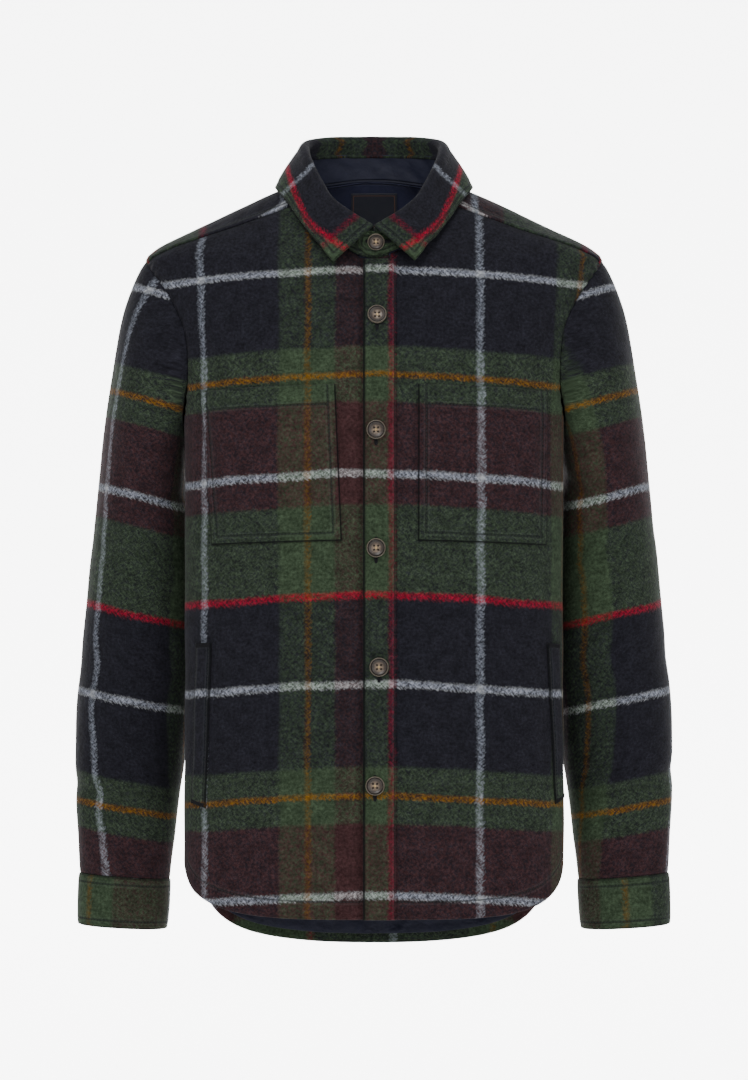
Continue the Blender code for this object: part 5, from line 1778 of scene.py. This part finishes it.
def tubes(name, lines, radius, material):
    """Round threads along some lines of points."""
    sides = 8
    vertices = []
    faces = []
    for line in lines:
        way = unit(np.gradient(line, axis=0))
        across = unit(np.cross(way, [0.3, 0.2, 0.93]))
        over = np.cross(way, across)
        start = len(vertices)
        angles = np.arange(sides) * 2 * math.pi / sides
        for k, point in enumerate(line):
            here = radius * (0.55 if k in (0, len(line) - 1) else 1.0)
            for angle in angles:
                vertices.append(
                    point + here * (math.cos(angle) * across[k] + math.sin(angle) * over[k])
                )
        for k in range(len(line) - 1):
            for i in range(sides):
                a = start + k * sides + i
                b = start + k * sides + (i + 1) % sides
                faces.append((a, b, b + sides, a + sides))
        faces.append(tuple(start + i for i in reversed(range(sides))))
        end = start + (len(line) - 1) * sides
        faces.append(tuple(end + i for i in range(sides)))
    return new_object(name, np.array(vertices), faces, {}, material)


def dress(piece, node):
    """Sets a piece in its node's place."""
    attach(piece, "root")
    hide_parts(node)


def place_on(outer, normals, x, height):
    """Point and normal of a band's outer face at a height."""
    middle = outer.shape[1] // 2
    rows = outer[:, middle, 2]
    at = int(np.clip(np.searchsorted(-rows, -height), 1, len(rows) - 1))
    share = (rows[at - 1] - height) / (rows[at - 1] - rows[at])
    point = outer[at - 1, middle] * (1 - share) + outer[at, middle] * share
    normal = unit(normals[at - 1, middle] * (1 - share) + normals[at, middle] * share)
    return np.array([x, point[1], height]), normal * [0, 1, 1]


# Stage

CAMERA_DISTANCE = 4.5
CAMERA_Z = -0.345
SENSOR = 36.0
FLOOR_Z = -2.4
BEND_Y = 5.2
BEND_RADIUS = 1.2


def build_stage():
    """Camera, pale floor and backdrop, and soft light."""
    camera_data = bpy.data.cameras.new("camera")
    camera = bpy.data.objects.new("camera", camera_data)
    bpy.context.scene.collection.objects.link(camera)
    camera.location = (0, -CAMERA_DISTANCE, CAMERA_Z)
    camera.rotation_euler = (math.radians(90), 0, 0)
    camera_data.sensor_fit = "VERTICAL"
    camera_data.sensor_height = SENSOR
    camera_data.lens = SENSOR * CAMERA_DISTANCE / 1.080
    bpy.context.scene.camera = camera

    bend = []
    for angle in np.linspace(-math.pi / 2, 0, 33):
        bend.append(
            (BEND_Y + BEND_RADIUS * math.cos(angle), FLOOR_Z + BEND_RADIUS * (1 + math.sin(angle)))
        )
    line = [(-7.0, FLOOR_Z), *bend, (BEND_Y + BEND_RADIUS, 5.0)]
    across = np.array([-7.0, 7.0])
    vertices = np.array([[x, y, z] for y, z in line for x in across])
    faces = [(2 * k, 2 * k + 1, 2 * k + 3, 2 * k + 2) for k in range(len(line) - 1)]
    nodes = Nodes("pale_floor")
    _, depth, _ = nodes.parts(nodes.place())
    nodes.set(Base_Color=(0.92, 0.92, 0.92, 1), Roughness=0.9, Emission_Color=(1, 1, 1, 1))
    # The floor glows only behind the jacket, more towards the back, and the backdrop glows at full
    # strength, standing in for a brightly lit white backdrop
    nodes.set(Emission_Strength=nodes.times(nodes.ease(depth, 1.0, 5.0), 5.4))
    new_object("floor", vertices, faces, {}, nodes.material)

    world = bpy.data.worlds.new("studio")
    world.use_nodes = True
    world.node_tree.nodes["Background"].inputs[0].default_value = (1, 1, 1, 1)
    world.node_tree.nodes["Background"].inputs[1].default_value = 0.74
    bpy.context.scene.world = world
    lights = [
        ("key", (-1.0, -2.8, 2.0), 1.8, 92),
        ("fill", (1.9, -2.6, 0.3), 2.2, 34),
        ("top", (0.0, 0.6, 2.4), 2.0, 16),
    ]
    for name, place, size, power in lights:
        data = bpy.data.lights.new(name, "AREA")
        data.size = size
        data.energy = power
        light = bpy.data.objects.new(name, data)
        light.location = place
        way = np.array([0, 0, -0.35]) - np.array(place)
        light.rotation_euler = (
            math.atan2(math.hypot(way[0], way[1]), -way[2]),
            0,
            math.atan2(way[1], way[0]) - math.pi / 2,
        )
        bpy.context.scene.collection.objects.link(light)


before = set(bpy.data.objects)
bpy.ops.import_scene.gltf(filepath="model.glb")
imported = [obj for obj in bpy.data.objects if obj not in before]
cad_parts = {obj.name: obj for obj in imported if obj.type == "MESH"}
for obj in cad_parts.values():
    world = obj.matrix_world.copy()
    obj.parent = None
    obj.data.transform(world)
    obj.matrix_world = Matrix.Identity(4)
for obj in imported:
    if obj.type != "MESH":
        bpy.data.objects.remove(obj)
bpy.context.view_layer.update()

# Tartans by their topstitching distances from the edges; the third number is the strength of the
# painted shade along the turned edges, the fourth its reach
HEM_CLOTH = tartan("tartan_hemmed", (0.0175,))
EDGE_CLOTH = tartan("tartan_edge_stitched", (0.0055,))
POCKET_CLOTH = tartan("tartan_pocket", (POCKET_STITCH,), 0.85, 0.0018)
WELT_CLOTH = tartan("tartan_welt", (0.0024,), 0.80, 0.0018)
BAND_CLOTH = tartan("tartan_band", (0.0312,), 0.90, 0.0042)
CUFF_CLOTH = tartan("tartan_cuff", (0.0075,), 0.40)
COLLAR_CLOTH = tartan("tartan_collar", (0.0065,), 0.30)
# One navy lining fabric in three tones: lighter for the yoke lining, which lies in shade, as painted
# light; darker for the lit stand facing and for the back lining, as painted shade
LINING_PAINTED_LIGHTER = smooth_cloth("navy_lining_painted_lighter", (35, 37, 57), (0.0020,))
FACING_PAINTED_DARKER = smooth_cloth("navy_facing_painted_darker", (26, 28, 43), (0.0020,))
BACK_LINING_PAINTED_DARKER = smooth_cloth("navy_back_lining_painted_darker", (20, 22, 37), (), 0.0046)
LABEL = woven_label("bare_label")
HORN = horn("brown_horn")
THREAD = thread("cream_thread", (196, 168, 118), (90, 66, 40))
DARK_THREAD = thread("dark_thread", (16, 16, 20), (6, 6, 9))


def main():
    """Builds every piece of the jacket."""
    back_coarse = build_back()
    yoke_lines = yoke_grid(back_coarse)
    build_yoke(*yoke_lines)
    for side in (-1, 1):
        build_front(side)
        build_sleeve(side)
        build_cuff(side)
    band, band_normals = build_band()
    for number, (height, x) in enumerate(FRONT_BUTTONS, start=2):
        place, out = place_on(band, band_normals, x, height)
        build_button(f"button_{number}", place, out, BUTTON_RADIUS)
        up = unit(np.cross(np.cross(out, [0, 0, 1.0]), out))
        build_buttonhole(f"buttonhole_{number}", place, out, up)
    foot, top, turns = build_stand()
    at = int(np.argmin(np.abs(turns + 360)))
    height, x = TOP_BUTTON
    share = (height - foot[at, 2]) / (top[at, 2] - foot[at, 2])
    seat = foot[at] * (1 - share) + top[at] * share
    lean = unit(np.cross([1.0, 0, 0], top[at] - foot[at]))
    out = lean * np.sign(-lean[1])
    place = np.array([x, seat[1] - 0.0008, height])
    build_button("button_1", place, out, TOP_BUTTON_RADIUS)
    build_buttonhole("buttonhole_1", place, out, np.array([-1.0, 0, 0]))
    build_leaf()
    build_yoke_lining(*yoke_lines)
    build_back_lining(back_coarse)
    build_label()
    build_stage()


main()
